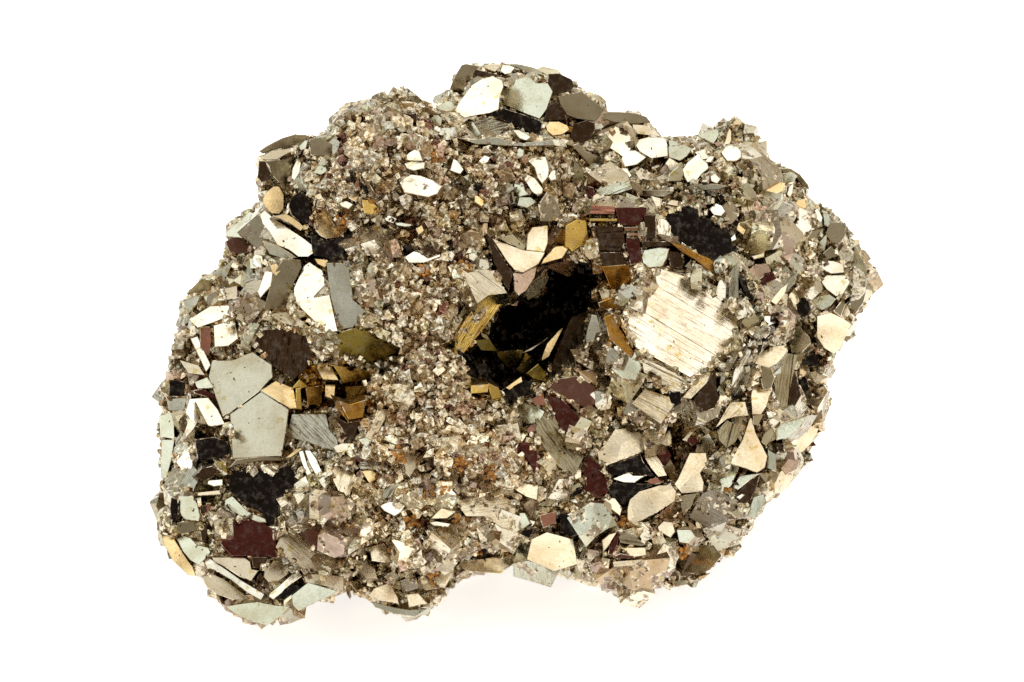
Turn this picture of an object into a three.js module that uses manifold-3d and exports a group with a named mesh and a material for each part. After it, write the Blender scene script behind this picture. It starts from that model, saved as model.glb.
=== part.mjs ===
import * as THREE from "three";
import { ConvexGeometry } from "three/addons/geometries/ConvexGeometry.js";
import { MeshSurfaceSampler } from "three/addons/math/MeshSurfaceSampler.js";
import { mergeVertices } from "three/addons/utils/BufferGeometryUtils.js";
import Module from "manifold-3d";

// A hand-sized cluster of intergrown pyrite crystals, in millimetres, +Z up.
// It grew as one piece, so it is one solid: a knobbly mass with crystal blocks standing out of it
// all round, two pockets, and the broken underside that it rests on.

// The specimen is laid out as it is seen from its best side: right, up and towards the eye, from
// a middle point inside it. Outlines are read on the plane through that point, square to the
// line of sight, and every outline point lies on the ray from the eye through that plane.
const EYE_DISTANCE = 332;
const EYE_ELEVATION = THREE.MathUtils.degToRad(30);

// The underside is broken off flat this far below the middle point.
const BASE_DROP = 17.6;
const BREAK_WIDTH = 200;

// How far the knobbly mass swells from its rim towards the eye and away from it.
const FRONT_SWELL = 12;
const BACK_SWELL = 18;
const RING_ANGLES = [0, 40];
const MASS_UNEVENNESS = 0.07;
const LOBE_UNEVENNESS = 0.05;

// The cone of sight is cut off this far in front of the middle point and behind it.
const SIGHT_FRONT = 30;
const SIGHT_BACK = -50;

// The outline, clockwise from the left shoulder: right and up.
const OUTLINE = [
  [-21.2, 11.9], [-21.4, 12.8], [-21.1, 15.3], [-20.5, 16.2], [-19.6, 16.7], [-18.1, 17.3],
  [-15.9, 17.2], [-15.3, 18.3], [-14.8, 19.2], [-13.8, 19.7], [-11.0, 20.5], [-9.3, 21.3],
  [-7.9, 20.7], [-6.5, 19.6], [-5.3, 21.0], [-4.0, 23.3], [-1.0, 23.3], [2.0, 22.9], [3.9, 22.5],
  [6.0, 21.0], [8.0, 19.4], [11.0, 19.0], [12.0, 17.6], [14.3, 16.9], [17.0, 18.2], [18.6, 18.9],
  [19.4, 18.6], [20.8, 17.2], [21.8, 15.0], [24.2, 14.0], [25.0, 12.0], [26.6, 11.1], [27.8, 10.0],
  [28.8, 8.5], [29.9, 6.0], [30.3, 4.0], [29.0, 1.5], [26.9, -1.5], [26.4, -2.9], [26.8, -5.5],
  [25.9, -7.0], [24.9, -9.7], [24.0, -11.0], [22.4, -12.7], [21.3, -13.4], [20.0, -15.8],
  [18.2, -18.2], [16.0, -20.0], [13.8, -20.7], [12.3, -20.5], [10.5, -21.7], [8.2, -21.2],
  [5.9, -20.0], [3.4, -19.5], [0.0, -18.9], [-1.3, -19.7], [-4.0, -19.6], [-5.5, -21.5],
  [-7.2, -22.9], [-8.3, -23.3], [-10.3, -22.8], [-12.5, -21.5], [-14.2, -21.0], [-16.0, -21.7],
  [-17.5, -22.7], [-20.5, -23.9], [-22.5, -23.2], [-24.5, -21.9], [-26.0, -19.8], [-28.3, -18.2],
  [-29.5, -15.7], [-29.9, -14.3], [-29.5, -12.0], [-29.8, -7.0], [-29.0, -3.0], [-28.1, 0.5],
  [-27.7, 3.3], [-26.0, 5.3], [-24.5, 6.3], [-23.9, 9.0], [-22.2, 11.2],
];

// How far towards the eye the rim lies, by the way round in degrees: right is 0, top is 90.
const RIM_DEPTHS = [
  [-180, -5], [-160, -2], [-140, 5], [-110, 7], [-85, 5], [-65, 3], [-45, -4], [-20, -10],
  [0, -12], [30, -12], [60, -13], [75, -15.5], [97, -15], [107, -7], [115, -3], [135, -5],
  [155, -7], [180, -5],
];

// Lobes of the mass: middle (right, up, towards the eye) and half-sizes.
const LOBES = [
  [[-11.0, 13.0, 0.0], [7.8, 6.8, 8.2]],
  [[-18.6, 13.2, -5.0], [2.8, 3.4, 4.6]],
  [[-0.4, 12.4, -1.0], [6.3, 5.4, 7.4]],
  [[3.0, 16.6, -15.0], [6.6, 5.0, 6.4]],
  [[17.4, 12.4, -8.0], [6.6, 4.8, 7.0]],
  [[25.2, 4.6, -10.5], [3.9, 6.6, 7.0]],
  [[-23.6, -2.0, -3.0], [4.7, 8.6, 8.0]],
  [[-21.4, -15.4, 5.0], [6.6, 6.8, 6.4]],
  [[-5.0, -8.0, 5.0], [10.8, 9.8, 9.4]],
  [[-8.2, -18.8, 7.0], [4.6, 3.6, 4.8]],
  [[9.2, -16.8, 5.0], [5.8, 3.9, 6.0]],
  [[-2.0, -9.0, -9.0], [17.0, 8.6, 10.0]],
  [[-15.0, -9.0, -7.0], [10.0, 8.0, 9.0]],
  [[14.0, 0.4, 3.0], [8.4, 7.6, 8.2]],
  [[-8.5, 2.0, 3.4], [6.6, 6.4, 7.8]],
  [[4.6, -8.0, 3.0], [5.4, 5.6, 8.8]],
  [[6.5, 8.0, -1.4], [6.4, 4.8, 7.8]],
  [[17.6, -9.6, -2.0], [6.4, 7.6, 8.0]],
  [[-18.2, 1.0, 1.0], [5.4, 5.6, 7.4]],
  [[-13.0, 4.0, -15.0], [10.0, 9.0, 7.4]],
  [[6.0, 7.0, -18.0], [9.0, 8.6, 7.0]],
  [[17.0, 1.0, -15.0], [7.6, 8.4, 7.6]],
  [[-3.0, -2.0, -19.0], [9.0, 8.0, 6.4]],
];

// Places seen from the eye where the grains are too fine for crystals of their own: an outline each.
const FINE_GRAINED = [
  [[-17.0, 10.5], [-15.0, 17.5], [-9.0, 20.5], [-4.5, 17.0], [-4.0, 9.0], [-8.0, 6.5], [-14.0, 7.5]],
  [[-4.0, 9.5], [-3.5, 17.0], [1.5, 18.0], [6.0, 14.5], [6.0, 10.5], [0.5, 9.5]],
  [[-11.0, 7.5], [-4.0, 8.0], [-2.5, 2.5], [-3.0, -3.5], [1.5, -7.0], [1.0, -12.5], [-4.0, -16.5],
    [-11.0, -16.5], [-13.5, -12.0], [-11.5, -4.0], [-11.0, 2.0]],
];

// Pockets between the crystals: middle, half-sizes and how far the long way is turned up.
const POCKETS = [
  [[2.2, 1.5, 11.5], [7.4, 4.9, 13.5], 40],
  [[-14.4, -5.0, 9.0], [2.5, 3.2, 4.6], -20],
];

// How the face of a crystal leans, by the way it catches the light: to the right and up.
const LEAN = {
  white: [-0.16, 0.44],
  cream: [0.26, 0.34],
  pale: [-0.42, 0.16],
  olive: [0.44, -0.06],
  grey: [-0.3, -0.24],
  dusk: [0.06, -0.12],
  black: [0.0, 0.06],
  gold: [0.3, -0.34],
  floor: [-0.06, -0.46],
};

// Crystal faces that can be told apart one by one: lean, height above the mass, and outline.
const FACES = [
  // Crystals left of the middle, over the small pocket.
  ["olive", 0.7, [[-17.6, 6.7], [-19.1, 6.8], [-19.8, 5.7], [-20.7, 2.6], [-19.2, 2.8], [-17.5, 6.2]]],
  ["white", 1.3, [[-17.4, 6.2], [-16.9, 6.6], [-15.8, 5.9], [-15.2, 3.9], [-14.5, 0.8], [-15.5, 0.7],
    [-18.2, 3.3], [-18.2, 4.4]]],
  ["grey", 1.1, [[-15.5, 6.5], [-13.6, 6.5], [-13.2, 3.4], [-12.1, 2.6], [-13.3, 1.1], [-14.4, 0.9],
    [-15.2, 4.0]]],
  ["dusk", 0.8, [[-21.4, 0.1], [-20.7, 0.9], [-19.2, 1.0], [-17.2, 0.4], [-16.5, -1.6], [-18.2, -3.2],
    [-20.0, -2.0], [-21.4, -0.5]]],
  ["olive", 0.9, [[-15.2, 0.0], [-14.1, 0.8], [-13.0, 1.1], [-9.8, -0.5], [-9.4, -0.9], [-11.8, -1.8],
    [-14.9, -1.1]]],
  ["pale", 0.7, [[-25.0, -1.6], [-23.3, -1.6], [-21.6, -0.9], [-20.0, -2.0], [-20.0, -3.0],
    [-21.1, -4.2], [-24.1, -6.3], [-25.3, -3.0]]],
  ["cream", 1.0, [[-20.9, -4.2], [-18.6, -5.7], [-18.8, -7.3], [-19.2, -9.6], [-23.3, -9.8],
    [-23.5, -6.1]]],
  ["white", 0.8, [[-26.9, -4.8], [-25.3, -4.7], [-24.5, -5.7], [-23.9, -6.9], [-25.0, -7.1],
    [-26.8, -6.6], [-27.2, -5.9]]],
  ["grey", 0.8, [[-18.3, -6.1], [-15.5, -6.1], [-15.2, -7.4], [-14.5, -8.2], [-14.5, -9.2],
    [-18.7, -7.9]]],
  ["gold", 0.3, [[-16.3, -1.7], [-12.0, -2.0], [-11.8, -2.7], [-13.8, -3.5], [-15.5, -3.5]]],
  // Crystals round the large pocket.
  ["olive", 0.9, [[-3.9, 5.5], [-1.9, 6.1], [-0.3, 3.8], [-1.9, 3.8], [-2.9, 3.0], [-3.7, 4.6]]],
  ["gold", 0.6, [[-3.0, 3.0], [-2.1, 3.8], [-0.4, 3.6], [-2.5, 0.5], [-4.2, -1.2], [-4.8, -0.8],
    [-4.9, 0.3]]],
  ["cream", 0.9, [[-1.8, 8.8], [-0.3, 8.5], [1.3, 8.0], [2.4, 6.3], [1.0, 5.7], [0.3, 5.7]]],
  ["grey", 0.6, [[6.4, 2.1], [7.6, 2.0], [8.2, -0.1], [6.2, -0.3], [6.0, 0.5]]],
  ["pale", 0.8, [[8.3, -2.3], [9.1, -0.8], [10.2, -1.1], [10.8, -2.3], [10.2, -3.4], [9.0, -3.4]]],
  ["dusk", 0.8, [[2.7, -4.4], [4.3, -3.0], [6.6, -3.4], [7.9, -4.6], [7.5, -5.5], [5.6, -5.7],
    [2.9, -5.5]]],
  ["olive", 1.0, [[2.0, -6.5], [3.2, -6.0], [4.0, -7.4], [6.0, -9.6], [5.2, -11.3], [3.9, -10.5],
    [1.9, -7.9]]],
  ["cream", 1.0, [[6.3, -9.0], [7.7, -8.0], [8.8, -7.2], [11.5, -7.4], [12.0, -8.6], [10.9, -9.4],
    [7.7, -10.6], [7.0, -9.8]]],
  // The large striated crystal, its stepped side, and what grows against it.
  ["cream", 1.2, [[12.3, 6.0], [15.0, 5.2], [17.3, 3.4], [18.7, 2.4], [18.9, 1.2], [17.7, -0.7],
    [16.7, -1.9], [14.8, -3.0], [10.3, -0.5], [9.4, 2.3], [10.3, 3.2], [11.3, 4.7]]],
  ["floor", 1.2, [[10.8, -1.3], [14.6, -3.2], [13.9, -4.6], [11.0, -2.6]]],
  ["cream", 1.0, [[10.0, -5.2], [11.1, -4.0], [13.8, -4.9], [12.4, -6.9]]],
  ["grey", 0.9, [[17.8, -3.5], [20.0, 0.3], [20.8, 0.5], [20.2, -1.6], [18.6, -3.8]]],
  ["olive", 0.8, [[22.0, -2.4], [23.9, -1.8], [23.6, -4.8], [22.9, -5.9], [22.1, -5.7], [21.7, -3.5]]],
  ["cream", 0.8, [[25.6, 2.0], [26.7, 2.4], [28.4, 1.6], [26.8, -1.1], [25.5, 0.8]]],
  ["cream", 0.8, [[19.2, -7.8], [20.0, -7.0], [21.4, -8.9], [21.3, -10.0], [18.1, -10.0]]],
  // Lower right, down to the broken underside.
  ["cream", 1.0, [[13.6, -11.6], [14.2, -10.4], [15.0, -9.3], [16.2, -9.3], [15.7, -11.0],
    [16.2, -12.4], [14.0, -12.8]]],
  ["dusk", 0.8, [[6.0, -9.9], [7.4, -10.4], [8.3, -11.7], [7.8, -12.9], [6.6, -12.9], [5.9, -11.7]]],
  ["grey", 1.0, [[9.5, -13.8], [10.0, -13.0], [13.0, -12.1], [13.8, -13.3], [12.5, -14.2],
    [10.2, -15.0]]],
  ["cream", 1.0, [[-4.2, -13.4], [-2.5, -13.0], [0.0, -13.3], [0.6, -14.0], [0.2, -15.5],
    [-2.5, -14.4]]],
  ["cream", 1.2, [[7.6, -17.6], [8.9, -16.0], [11.5, -16.8], [11.3, -18.3], [8.2, -18.4]]],
  ["cream", 1.2, [[1.6, -16.5], [2.9, -15.9], [5.1, -16.5], [5.5, -18.6], [3.5, -19.2], [1.2, -18.2]]],
  // Lower left, with the two dull dark faces.
  ["black", 0.9, [[-23.6, -11.6], [-22.7, -10.9], [-20.6, -10.5], [-18.6, -10.5], [-17.8, -11.3],
    [-18.8, -12.9], [-19.6, -15.6], [-20.6, -14.5], [-23.0, -13.0]]],
  ["dusk", 0.9, [[-23.9, -15.1], [-22.6, -14.8], [-20.7, -15.2], [-19.6, -16.8], [-19.9, -18.0],
    [-20.7, -19.0], [-21.8, -18.6], [-24.4, -16.9]]],
  ["cream", 1.0, [[-23.5, -22.2], [-21.4, -21.9], [-18.6, -22.3], [-20.3, -23.6], [-23.0, -22.9]]],
  ["cream", 1.0, [[-17.9, -21.1], [-17.1, -20.3], [-13.9, -21.0], [-17.9, -22.5]]],
  ["cream", 1.1, [[-19.6, -17.3], [-18.2, -16.1], [-17.6, -16.1], [-13.9, -17.9], [-16.0, -19.2]]],
  ["cream", 0.9, [[-14.9, -10.8], [-12.6, -10.6], [-12.4, -11.7], [-13.8, -13.3]]],
  // Upper left, the shoulder and the granular lobe.
  ["white", 1.2, [[-21.1, 10.7], [-20.5, 10.7], [-16.5, 7.9], [-16.7, 7.1], [-18.1, 7.5],
    [-20.2, 9.2]]],
  ["white", 0.7, [[-9.5, 13.3], [-8.8, 13.9], [-6.6, 13.4], [-6.0, 12.8], [-6.8, 12.0], [-9.1, 12.4]]],
  // Crystals on the far side that show over the top, and the ridge on the right.
  ["white", 0.9, [[-4.9, 19.0], [-3.6, 21.3], [-2.0, 22.1], [-1.1, 22.0], [-1.2, 19.3], [-3.9, 18.6]]],
  ["pale", 0.9, [[-0.9, 19.5], [-0.6, 20.5], [0.2, 21.6], [1.5, 22.0], [3.0, 21.8], [3.4, 20.7],
    [2.3, 18.6]]],
  ["olive", 0.8, [[4.6, 20.2], [5.8, 20.8], [7.2, 19.9], [7.9, 19.2], [5.2, 18.4]]],
  ["white", 0.8, [[7.0, 15.8], [8.0, 17.5], [9.5, 18.2], [10.2, 15.2], [9.2, 14.7]]],
  ["dusk", 0.7, [[6.6, 11.3], [11.3, 11.1], [11.5, 9.9], [6.8, 10.0]]],
  ["dusk", 1.0, [[6.6, 9.7], [11.5, 9.6], [11.3, 8.4], [6.4, 8.4]]],
  ["dusk", 1.2, [[6.8, 8.1], [10.4, 8.1], [10.2, 6.3], [7.0, 6.3]]],
  ["black", 1.0, [[12.6, 10.5], [14.3, 11.4], [15.4, 11.1], [17.1, 10.2], [17.9, 9.5], [18.7, 8.0],
    [18.4, 7.3], [15.1, 7.7], [13.0, 8.9]]],
];

// A block under a face runs this deep into the mass and widens by this much for each millimetre.
const BLOCK_DEPTH = 5;
const BLOCK_FLARE = 0.3;
const LEAN_SPREAD = 0.07;

// Smaller crystals all over the mass: how many are tried, their half-sizes and their spacing.
const CRYSTAL_TRIES = 900;
const CRYSTAL_SMALLEST = 1.5;
const CRYSTAL_LARGEST = 3.0;
const CRYSTAL_SPACING = 3.0;
const CRYSTAL_SUNK = 0.25;
const CRYSTAL_STRETCH = 0.25;
const CUBE_SHARE = 0.8;

// Half a cube's edge, and the corners that five-cornered faces add to it, for a crystal of size 1.
const CUBE_HALF = 0.8;
const RIDGE_OUT = 1.2;
const RIDGE_HALF = 0.4;

// Crystals keep this share of their size from a face that has to show, and out of the pockets.
const FACE_MARGIN = 0.5;
const POCKET_CLEARANCE = 1.15;
const TURNED_AWAY = -0.2;

// Corners closer than this are one corner.
const WELD_DISTANCE = 1e-5;

const PYRITE_COLOUR = 0xc9b88a;
const PYRITE_ROUGHNESS = 0.28;

const wasm = await Module();
wasm.setup();

// Random numbers from a fixed start, so that the crystals always grow in the same places.
function seededRandom(seed) {
  let state = seed;
  return () => {
    state = (state * 1664525 + 1013904223) % 4294967296;
    return state / 4294967296;
  };
}

function between(random, low, high) {
  return low + (high - low) * random();
}

function toSolid(geometry) {
  const bare = geometry.index ? geometry.toNonIndexed() : geometry.clone();
  bare.deleteAttribute("normal");
  bare.deleteAttribute("uv");
  const merged = mergeVertices(bare, WELD_DISTANCE);
  const mesh = new wasm.Mesh({
    numProp: 3,
    vertProperties: new Float32Array(merged.attributes.position.array),
    triVerts: new Uint32Array(merged.index.array),
  });
  return new wasm.Manifold(mesh);
}

function toGeometry(solid) {
  const mesh = solid.getMesh();
  const geometry = new THREE.BufferGeometry();
  geometry.setAttribute("position", new THREE.BufferAttribute(mesh.vertProperties, 3));
  geometry.setIndex(new THREE.BufferAttribute(mesh.triVerts, 1));
  return geometry;
}

function joinAll(solids) {
  let joined = solids;
  while (joined.length > 1) {
    const pairs = [];
    for (let i = 0; i < joined.length; i += 2) {
      pairs.push(i + 1 < joined.length ? joined[i].add(joined[i + 1]) : joined[i]);
    }
    joined = pairs;
  }
  return joined[0];
}

// The point where the ray through (right, up) on the reading plane is this far towards the eye.
function onRay(right, up, towards) {
  const widening = (EYE_DISTANCE - towards) / EYE_DISTANCE;
  return new THREE.Vector3(right * widening, up * widening, towards);
}

// The rim's distance towards the eye at this way round the outline.
function rimDepth(right, up) {
  const round = THREE.MathUtils.radToDeg(Math.atan2(up, right));
  const after = Math.max(1, RIM_DEPTHS.findIndex(([degrees]) => degrees >= round));
  const [start, from] = RIM_DEPTHS[after - 1];
  const [end, to] = RIM_DEPTHS[after];
  return THREE.MathUtils.mapLinear(round, start, end, from, to);
}

// All that shows inside the outline: a cone of rays through the outline, cut off front and back.
function makeSightCone() {
  const shape = OUTLINE.map(([right, up]) => new THREE.Vector2(right, up)).reverse();
  const points = [];
  for (const towards of [SIGHT_FRONT, SIGHT_BACK]) {
    for (const { x, y } of shape) points.push(onRay(x, y, towards));
  }
  const count = shape.length;
  const triangles = [];
  for (const [a, b, c] of THREE.ShapeUtils.triangulateShape(shape, [])) {
    triangles.push(a, b, c, count + a, count + c, count + b);
  }
  for (let i = 0; i < count; i += 1) {
    const next = (i + 1) % count;
    triangles.push(i, count + i, next, next, count + i, count + next);
  }
  const geometry = new THREE.BufferGeometry().setFromPoints(points);
  geometry.setIndex(triangles);
  return toSolid(geometry);
}

// The swollen mass inside its rim: rings of points from the rim to one point in front and behind.
function makeMass(random) {
  const points = [];
  const ring = (angle, swell) => {
    const unevenness = MASS_UNEVENNESS * Math.sin(angle);
    for (const [right, up] of OUTLINE) {
      const shrink = Math.cos(angle) * (1 + between(random, -unevenness, unevenness));
      const stretch = 1 + between(random, -unevenness, unevenness);
      const height = rimDepth(right, up) * shrink + swell * Math.sin(angle) * stretch;
      points.push(onRay(right * shrink, up * shrink, height));
    }
  };
  const angles = RING_ANGLES.map((degrees) => THREE.MathUtils.degToRad(degrees));
  for (const angle of [...angles].reverse()) ring(angle, FRONT_SWELL);
  for (const angle of angles.slice(1)) ring(angle, -BACK_SWELL);
  const front = points.push(new THREE.Vector3(0, 0, FRONT_SWELL)) - 1;
  const back = points.push(new THREE.Vector3(0, 0, -BACK_SWELL)) - 1;

  const count = OUTLINE.length;
  const rings = (points.length - 2) / count;
  const triangles = [];
  for (let i = 0; i < count; i += 1) {
    const next = (i + 1) % count;
    triangles.push(front, next, i);
    const last = (rings - 1) * count;
    triangles.push(back, last + i, last + next);
    for (let r = 0; r < rings - 1; r += 1) {
      const inner = r * count;
      const outer = inner + count;
      triangles.push(inner + i, inner + next, outer + i);
      triangles.push(inner + next, outer + next, outer + i);
    }
  }
  const geometry = new THREE.BufferGeometry().setFromPoints(points);
  geometry.setIndex(triangles);
  return toSolid(geometry);
}

// A lump like a worn boulder: a ball of flat facets, stretched and a little uneven.
function makeBoulder(middle, halfSizes, turned, random) {
  const ball = new THREE.IcosahedronGeometry(1, 1);
  ball.deleteAttribute("normal");
  ball.deleteAttribute("uv");
  const facets = mergeVertices(ball);
  const position = facets.attributes.position;
  for (let i = 0; i < position.count; i += 1) {
    const stretch = between(random, 1 - LOBE_UNEVENNESS, 1 + LOBE_UNEVENNESS);
    position.setXYZ(i, position.getX(i) * stretch, position.getY(i) * stretch,
      position.getZ(i) * stretch);
  }
  facets.scale(...halfSizes);
  facets.rotateZ(THREE.MathUtils.degToRad(turned));
  facets.translate(...middle);
  return toSolid(facets);
}

// How far towards the eye the surface of the mass lies on the ray through (right, up).
function makeDepthReader(solid) {
  const mesh = new THREE.Mesh(toGeometry(solid), new THREE.MeshBasicMaterial());
  const eye = new THREE.Vector3(0, 0, EYE_DISTANCE);
  const raycaster = new THREE.Raycaster();
  return (right, up) => {
    const direction = new THREE.Vector3(right, up, -EYE_DISTANCE).normalize();
    raycaster.set(eye, direction);
    return raycaster.intersectObject(mesh)[0].point.z;
  };
}

function middleOf(outline) {
  const sum = outline.reduce(([right, up], [x, y]) => [right + x, up + y], [0, 0]);
  return [sum[0] / outline.length, sum[1] / outline.length];
}

// A crystal block: its front face lies on a leaning plane and looks like the outline from the
// eye, and its sides spread as they run back into the mass.
function makeBlock(outline, lean, height, readDepth, random) {
  const [right, up] = middleOf(outline);
  const middle = onRay(right, up, readDepth(right, up) + height);
  const normal = new THREE.Vector3(
    lean[0] + between(random, -LEAN_SPREAD, LEAN_SPREAD),
    lean[1] + between(random, -LEAN_SPREAD, LEAN_SPREAD),
    1,
  ).normalize();
  const eye = new THREE.Vector3(0, 0, EYE_DISTANCE);
  const reach = middle.clone().sub(eye).dot(normal);
  const corners = outline.map(([x, y]) => {
    const ray = new THREE.Vector3(x, y, -EYE_DISTANCE);
    return eye.clone().addScaledVector(ray, reach / ray.dot(normal));
  });
  const size = Math.max(...corners.map((corner) => corner.distanceTo(middle)));
  const spread = 1 + (BLOCK_FLARE * BLOCK_DEPTH) / size;
  const feet = corners.map((corner) => {
    const foot = corner.clone().sub(middle).multiplyScalar(spread).add(middle);
    return foot.addScaledVector(normal, -BLOCK_DEPTH);
  });
  return toSolid(new ConvexGeometry([...corners, ...feet]));
}

// The corners of a small crystal: a cube, or the twelve-sided form with five-cornered faces.
function cubeCorners() {
  const corners = [];
  for (const x of [-1, 1]) {
    for (const y of [-1, 1]) {
      for (const z of [-1, 1]) corners.push(new THREE.Vector3(x, y, z).multiplyScalar(CUBE_HALF));
    }
  }
  return corners;
}

function twelveSidedCorners() {
  const corners = cubeCorners();
  for (const a of [-1, 1]) {
    for (const b of [-1, 1]) {
      corners.push(new THREE.Vector3(a * RIDGE_HALF, 0, b * RIDGE_OUT));
      corners.push(new THREE.Vector3(a * RIDGE_OUT, b * RIDGE_HALF, 0));
      corners.push(new THREE.Vector3(0, a * RIDGE_OUT, b * RIDGE_HALF));
    }
  }
  return corners;
}

function makeCrystal(place, size, random) {
  const corners = random() < CUBE_SHARE ? cubeCorners() : twelveSidedCorners();
  const turn = new THREE.Quaternion(
    between(random, -1, 1),
    between(random, -1, 1),
    between(random, -1, 1),
    between(random, -1, 1),
  ).normalize();
  const stretch = new THREE.Vector3(
    between(random, 1 - CRYSTAL_STRETCH, 1 + CRYSTAL_STRETCH),
    between(random, 1 - CRYSTAL_STRETCH, 1 + CRYSTAL_STRETCH),
    between(random, 1 - CRYSTAL_STRETCH, 1 + CRYSTAL_STRETCH),
  ).multiplyScalar(size);
  const moved = corners.map((corner) => corner.multiply(stretch).applyQuaternion(turn).add(place));
  return toSolid(new ConvexGeometry(moved));
}

function isInside(outline, right, up) {
  let inside = false;
  for (let i = 0, j = outline.length - 1; i < outline.length; j = i, i += 1) {
    const [x1, y1] = outline[i];
    const [x2, y2] = outline[j];
    if (y1 > up !== y2 > up && right < ((x2 - x1) * (up - y1)) / (y2 - y1) + x1) inside = !inside;
  }
  return inside;
}

function distanceToOutline(outline, right, up) {
  const point = new THREE.Vector3(right, up, 0);
  const nearest = new THREE.Vector3();
  let least = Infinity;
  outline.forEach(([x, y], i) => {
    const [nextX, nextY] = outline[(i + 1) % outline.length];
    const edge = new THREE.Line3(new THREE.Vector3(x, y, 0), new THREE.Vector3(nextX, nextY, 0));
    edge.closestPointToPoint(point, true, nearest);
    least = Math.min(least, nearest.distanceTo(point));
  });
  return least;
}

function isInPocket([middle, halfSizes, turned], place) {
  const offset = place.clone().sub(new THREE.Vector3(...middle));
  offset.applyAxisAngle(new THREE.Vector3(0, 0, 1), -THREE.MathUtils.degToRad(turned));
  return offset.divide(new THREE.Vector3(...halfSizes)).length() < POCKET_CLEARANCE;
}

// Crystals strewn over the whole mass, except where a face that is told apart has to show.
function growCrystals(core, random) {
  const surface = new THREE.Mesh(toGeometry(core).toNonIndexed(), new THREE.MeshBasicMaterial());
  surface.geometry.computeVertexNormals();
  const sampler = new MeshSurfaceSampler(surface);
  sampler.setRandomGenerator(random);
  sampler.build();
  const placed = [];
  const place = new THREE.Vector3();
  const outward = new THREE.Vector3();
  const outlines = FACES.map((face) => face[2]);
  for (let i = 0; i < CRYSTAL_TRIES; i += 1) {
    sampler.sample(place, outward);
    const size = between(random, CRYSTAL_SMALLEST, CRYSTAL_LARGEST);
    const widening = EYE_DISTANCE / (EYE_DISTANCE - place.z);
    const right = place.x * widening;
    const up = place.y * widening;
    const clear = size * FACE_MARGIN;
    const hidesFace = outward.z > TURNED_AWAY && (
      outlines.some((outline) => (
        isInside(outline, right, up) || distanceToOutline(outline, right, up) < clear))
      || FINE_GRAINED.some((outline) => isInside(outline, right, up))
      || POCKETS.some((pocket) => isInPocket(pocket, place)));
    const crowded = placed.some((other) => (
      other.place.distanceTo(place) < ((other.size + size) / 2) * CRYSTAL_SPACING));
    if (!hidesFace && !crowded) {
      const sunk = place.clone().addScaledVector(outward, -CRYSTAL_SUNK * size);
      placed.push({ place: sunk, size });
    }
  }
  return placed.map((crystal) => makeCrystal(crystal.place, crystal.size, random));
}

// Small hollows that the joined shapes close off inside are filled: of all the skins that don't
// touch one another, only the one with the most triangles is kept, which is the outside.
function keepOutside(geometry) {
  const index = Array.from(geometry.index.array);
  const leader = Array.from({ length: geometry.attributes.position.count }, (unused, i) => i);
  const find = (i) => {
    let top = i;
    while (leader[top] !== top) top = leader[top];
    leader[i] = top;
    return top;
  };
  for (let i = 0; i < index.length; i += 3) {
    leader[find(index[i + 1])] = find(index[i]);
    leader[find(index[i + 2])] = find(index[i]);
  }
  const counts = new Map();
  for (const corner of index) counts.set(find(corner), (counts.get(find(corner)) ?? 0) + 1);
  const largest = Math.max(...counts.values());
  geometry.setIndex(index.filter((corner) => counts.get(find(corner)) === largest));
  return geometry.toNonIndexed();
}

// The mass is turned from the way it is seen to the way it stands.
function stand(solid) {
  const geometry = toGeometry(solid);
  geometry.rotateX(Math.PI / 2 - EYE_ELEVATION);
  return geometry;
}

// Everything under the broken plane is taken away.
function breakOff(solid) {
  const below = new THREE.BoxGeometry(BREAK_WIDTH, BREAK_WIDTH, BREAK_WIDTH);
  below.translate(0, 0, -BASE_DROP - BREAK_WIDTH / 2);
  return solid.subtract(toSolid(below));
}

const random = seededRandom(7);
const lobes = LOBES.map(([middle, halfSizes]) => makeBoulder(middle, halfSizes, 0, random));
const pockets = POCKETS.map(([middle, halfSizes, turned]) => (
  makeBoulder(middle, halfSizes, turned, random)));
const core = joinAll([makeMass(random), ...lobes]).subtract(joinAll(pockets));
const readDepth = makeDepthReader(core);
const blocks = FACES.map(([lean, height, outline]) => (
  makeBlock(outline, LEAN[lean], height, readDepth, random)));
const crystals = growCrystals(core, random);
const grown = joinAll([core, ...blocks, ...crystals]).intersect(makeSightCone());
const cluster = breakOff(toSolid(stand(grown)));

const geometry = keepOutside(toGeometry(cluster));
geometry.computeVertexNormals();
geometry.computeBoundingBox();
const { min, max } = geometry.boundingBox;

const pyrite = new THREE.MeshStandardMaterial({
  color: PYRITE_COLOUR,
  roughness: PYRITE_ROUGHNESS,
  metalness: 1,
});
const pyriteCluster = new THREE.Mesh(geometry, pyrite);
pyriteCluster.name = "pyrite_cluster";
pyriteCluster.position.set(-(min.x + max.x) / 2, -(min.y + max.y) / 2, -min.z);

const specimen = new THREE.Group();
specimen.add(pyriteCluster);

export default specimen;
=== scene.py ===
# %% [markdown]
# # A cluster of pyrite crystals
#
# Pyrite is iron sulphide. It grows as cubes and as twelve-sided pyritohedra, and in a rich vein the
# crystals start so close together that they run into each other. What is left is a lump the size of a plum
# with flat brassy faces standing out of it at every angle, fine glittering druse between them, and black
# pockets where nothing grew. The lesson goes from the inside out: the knobbly mass, the crystals that can
# be told apart, the smaller ones, the druse, the rust in the cracks, and then the metal itself.
#
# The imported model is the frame. Every piece below is made in metres in its coordinates.

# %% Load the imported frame
import math

import bmesh
import bpy
import numpy as np
from mathutils import Matrix, Vector, noise
from mathutils.bvhtree import BVHTree


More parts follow.
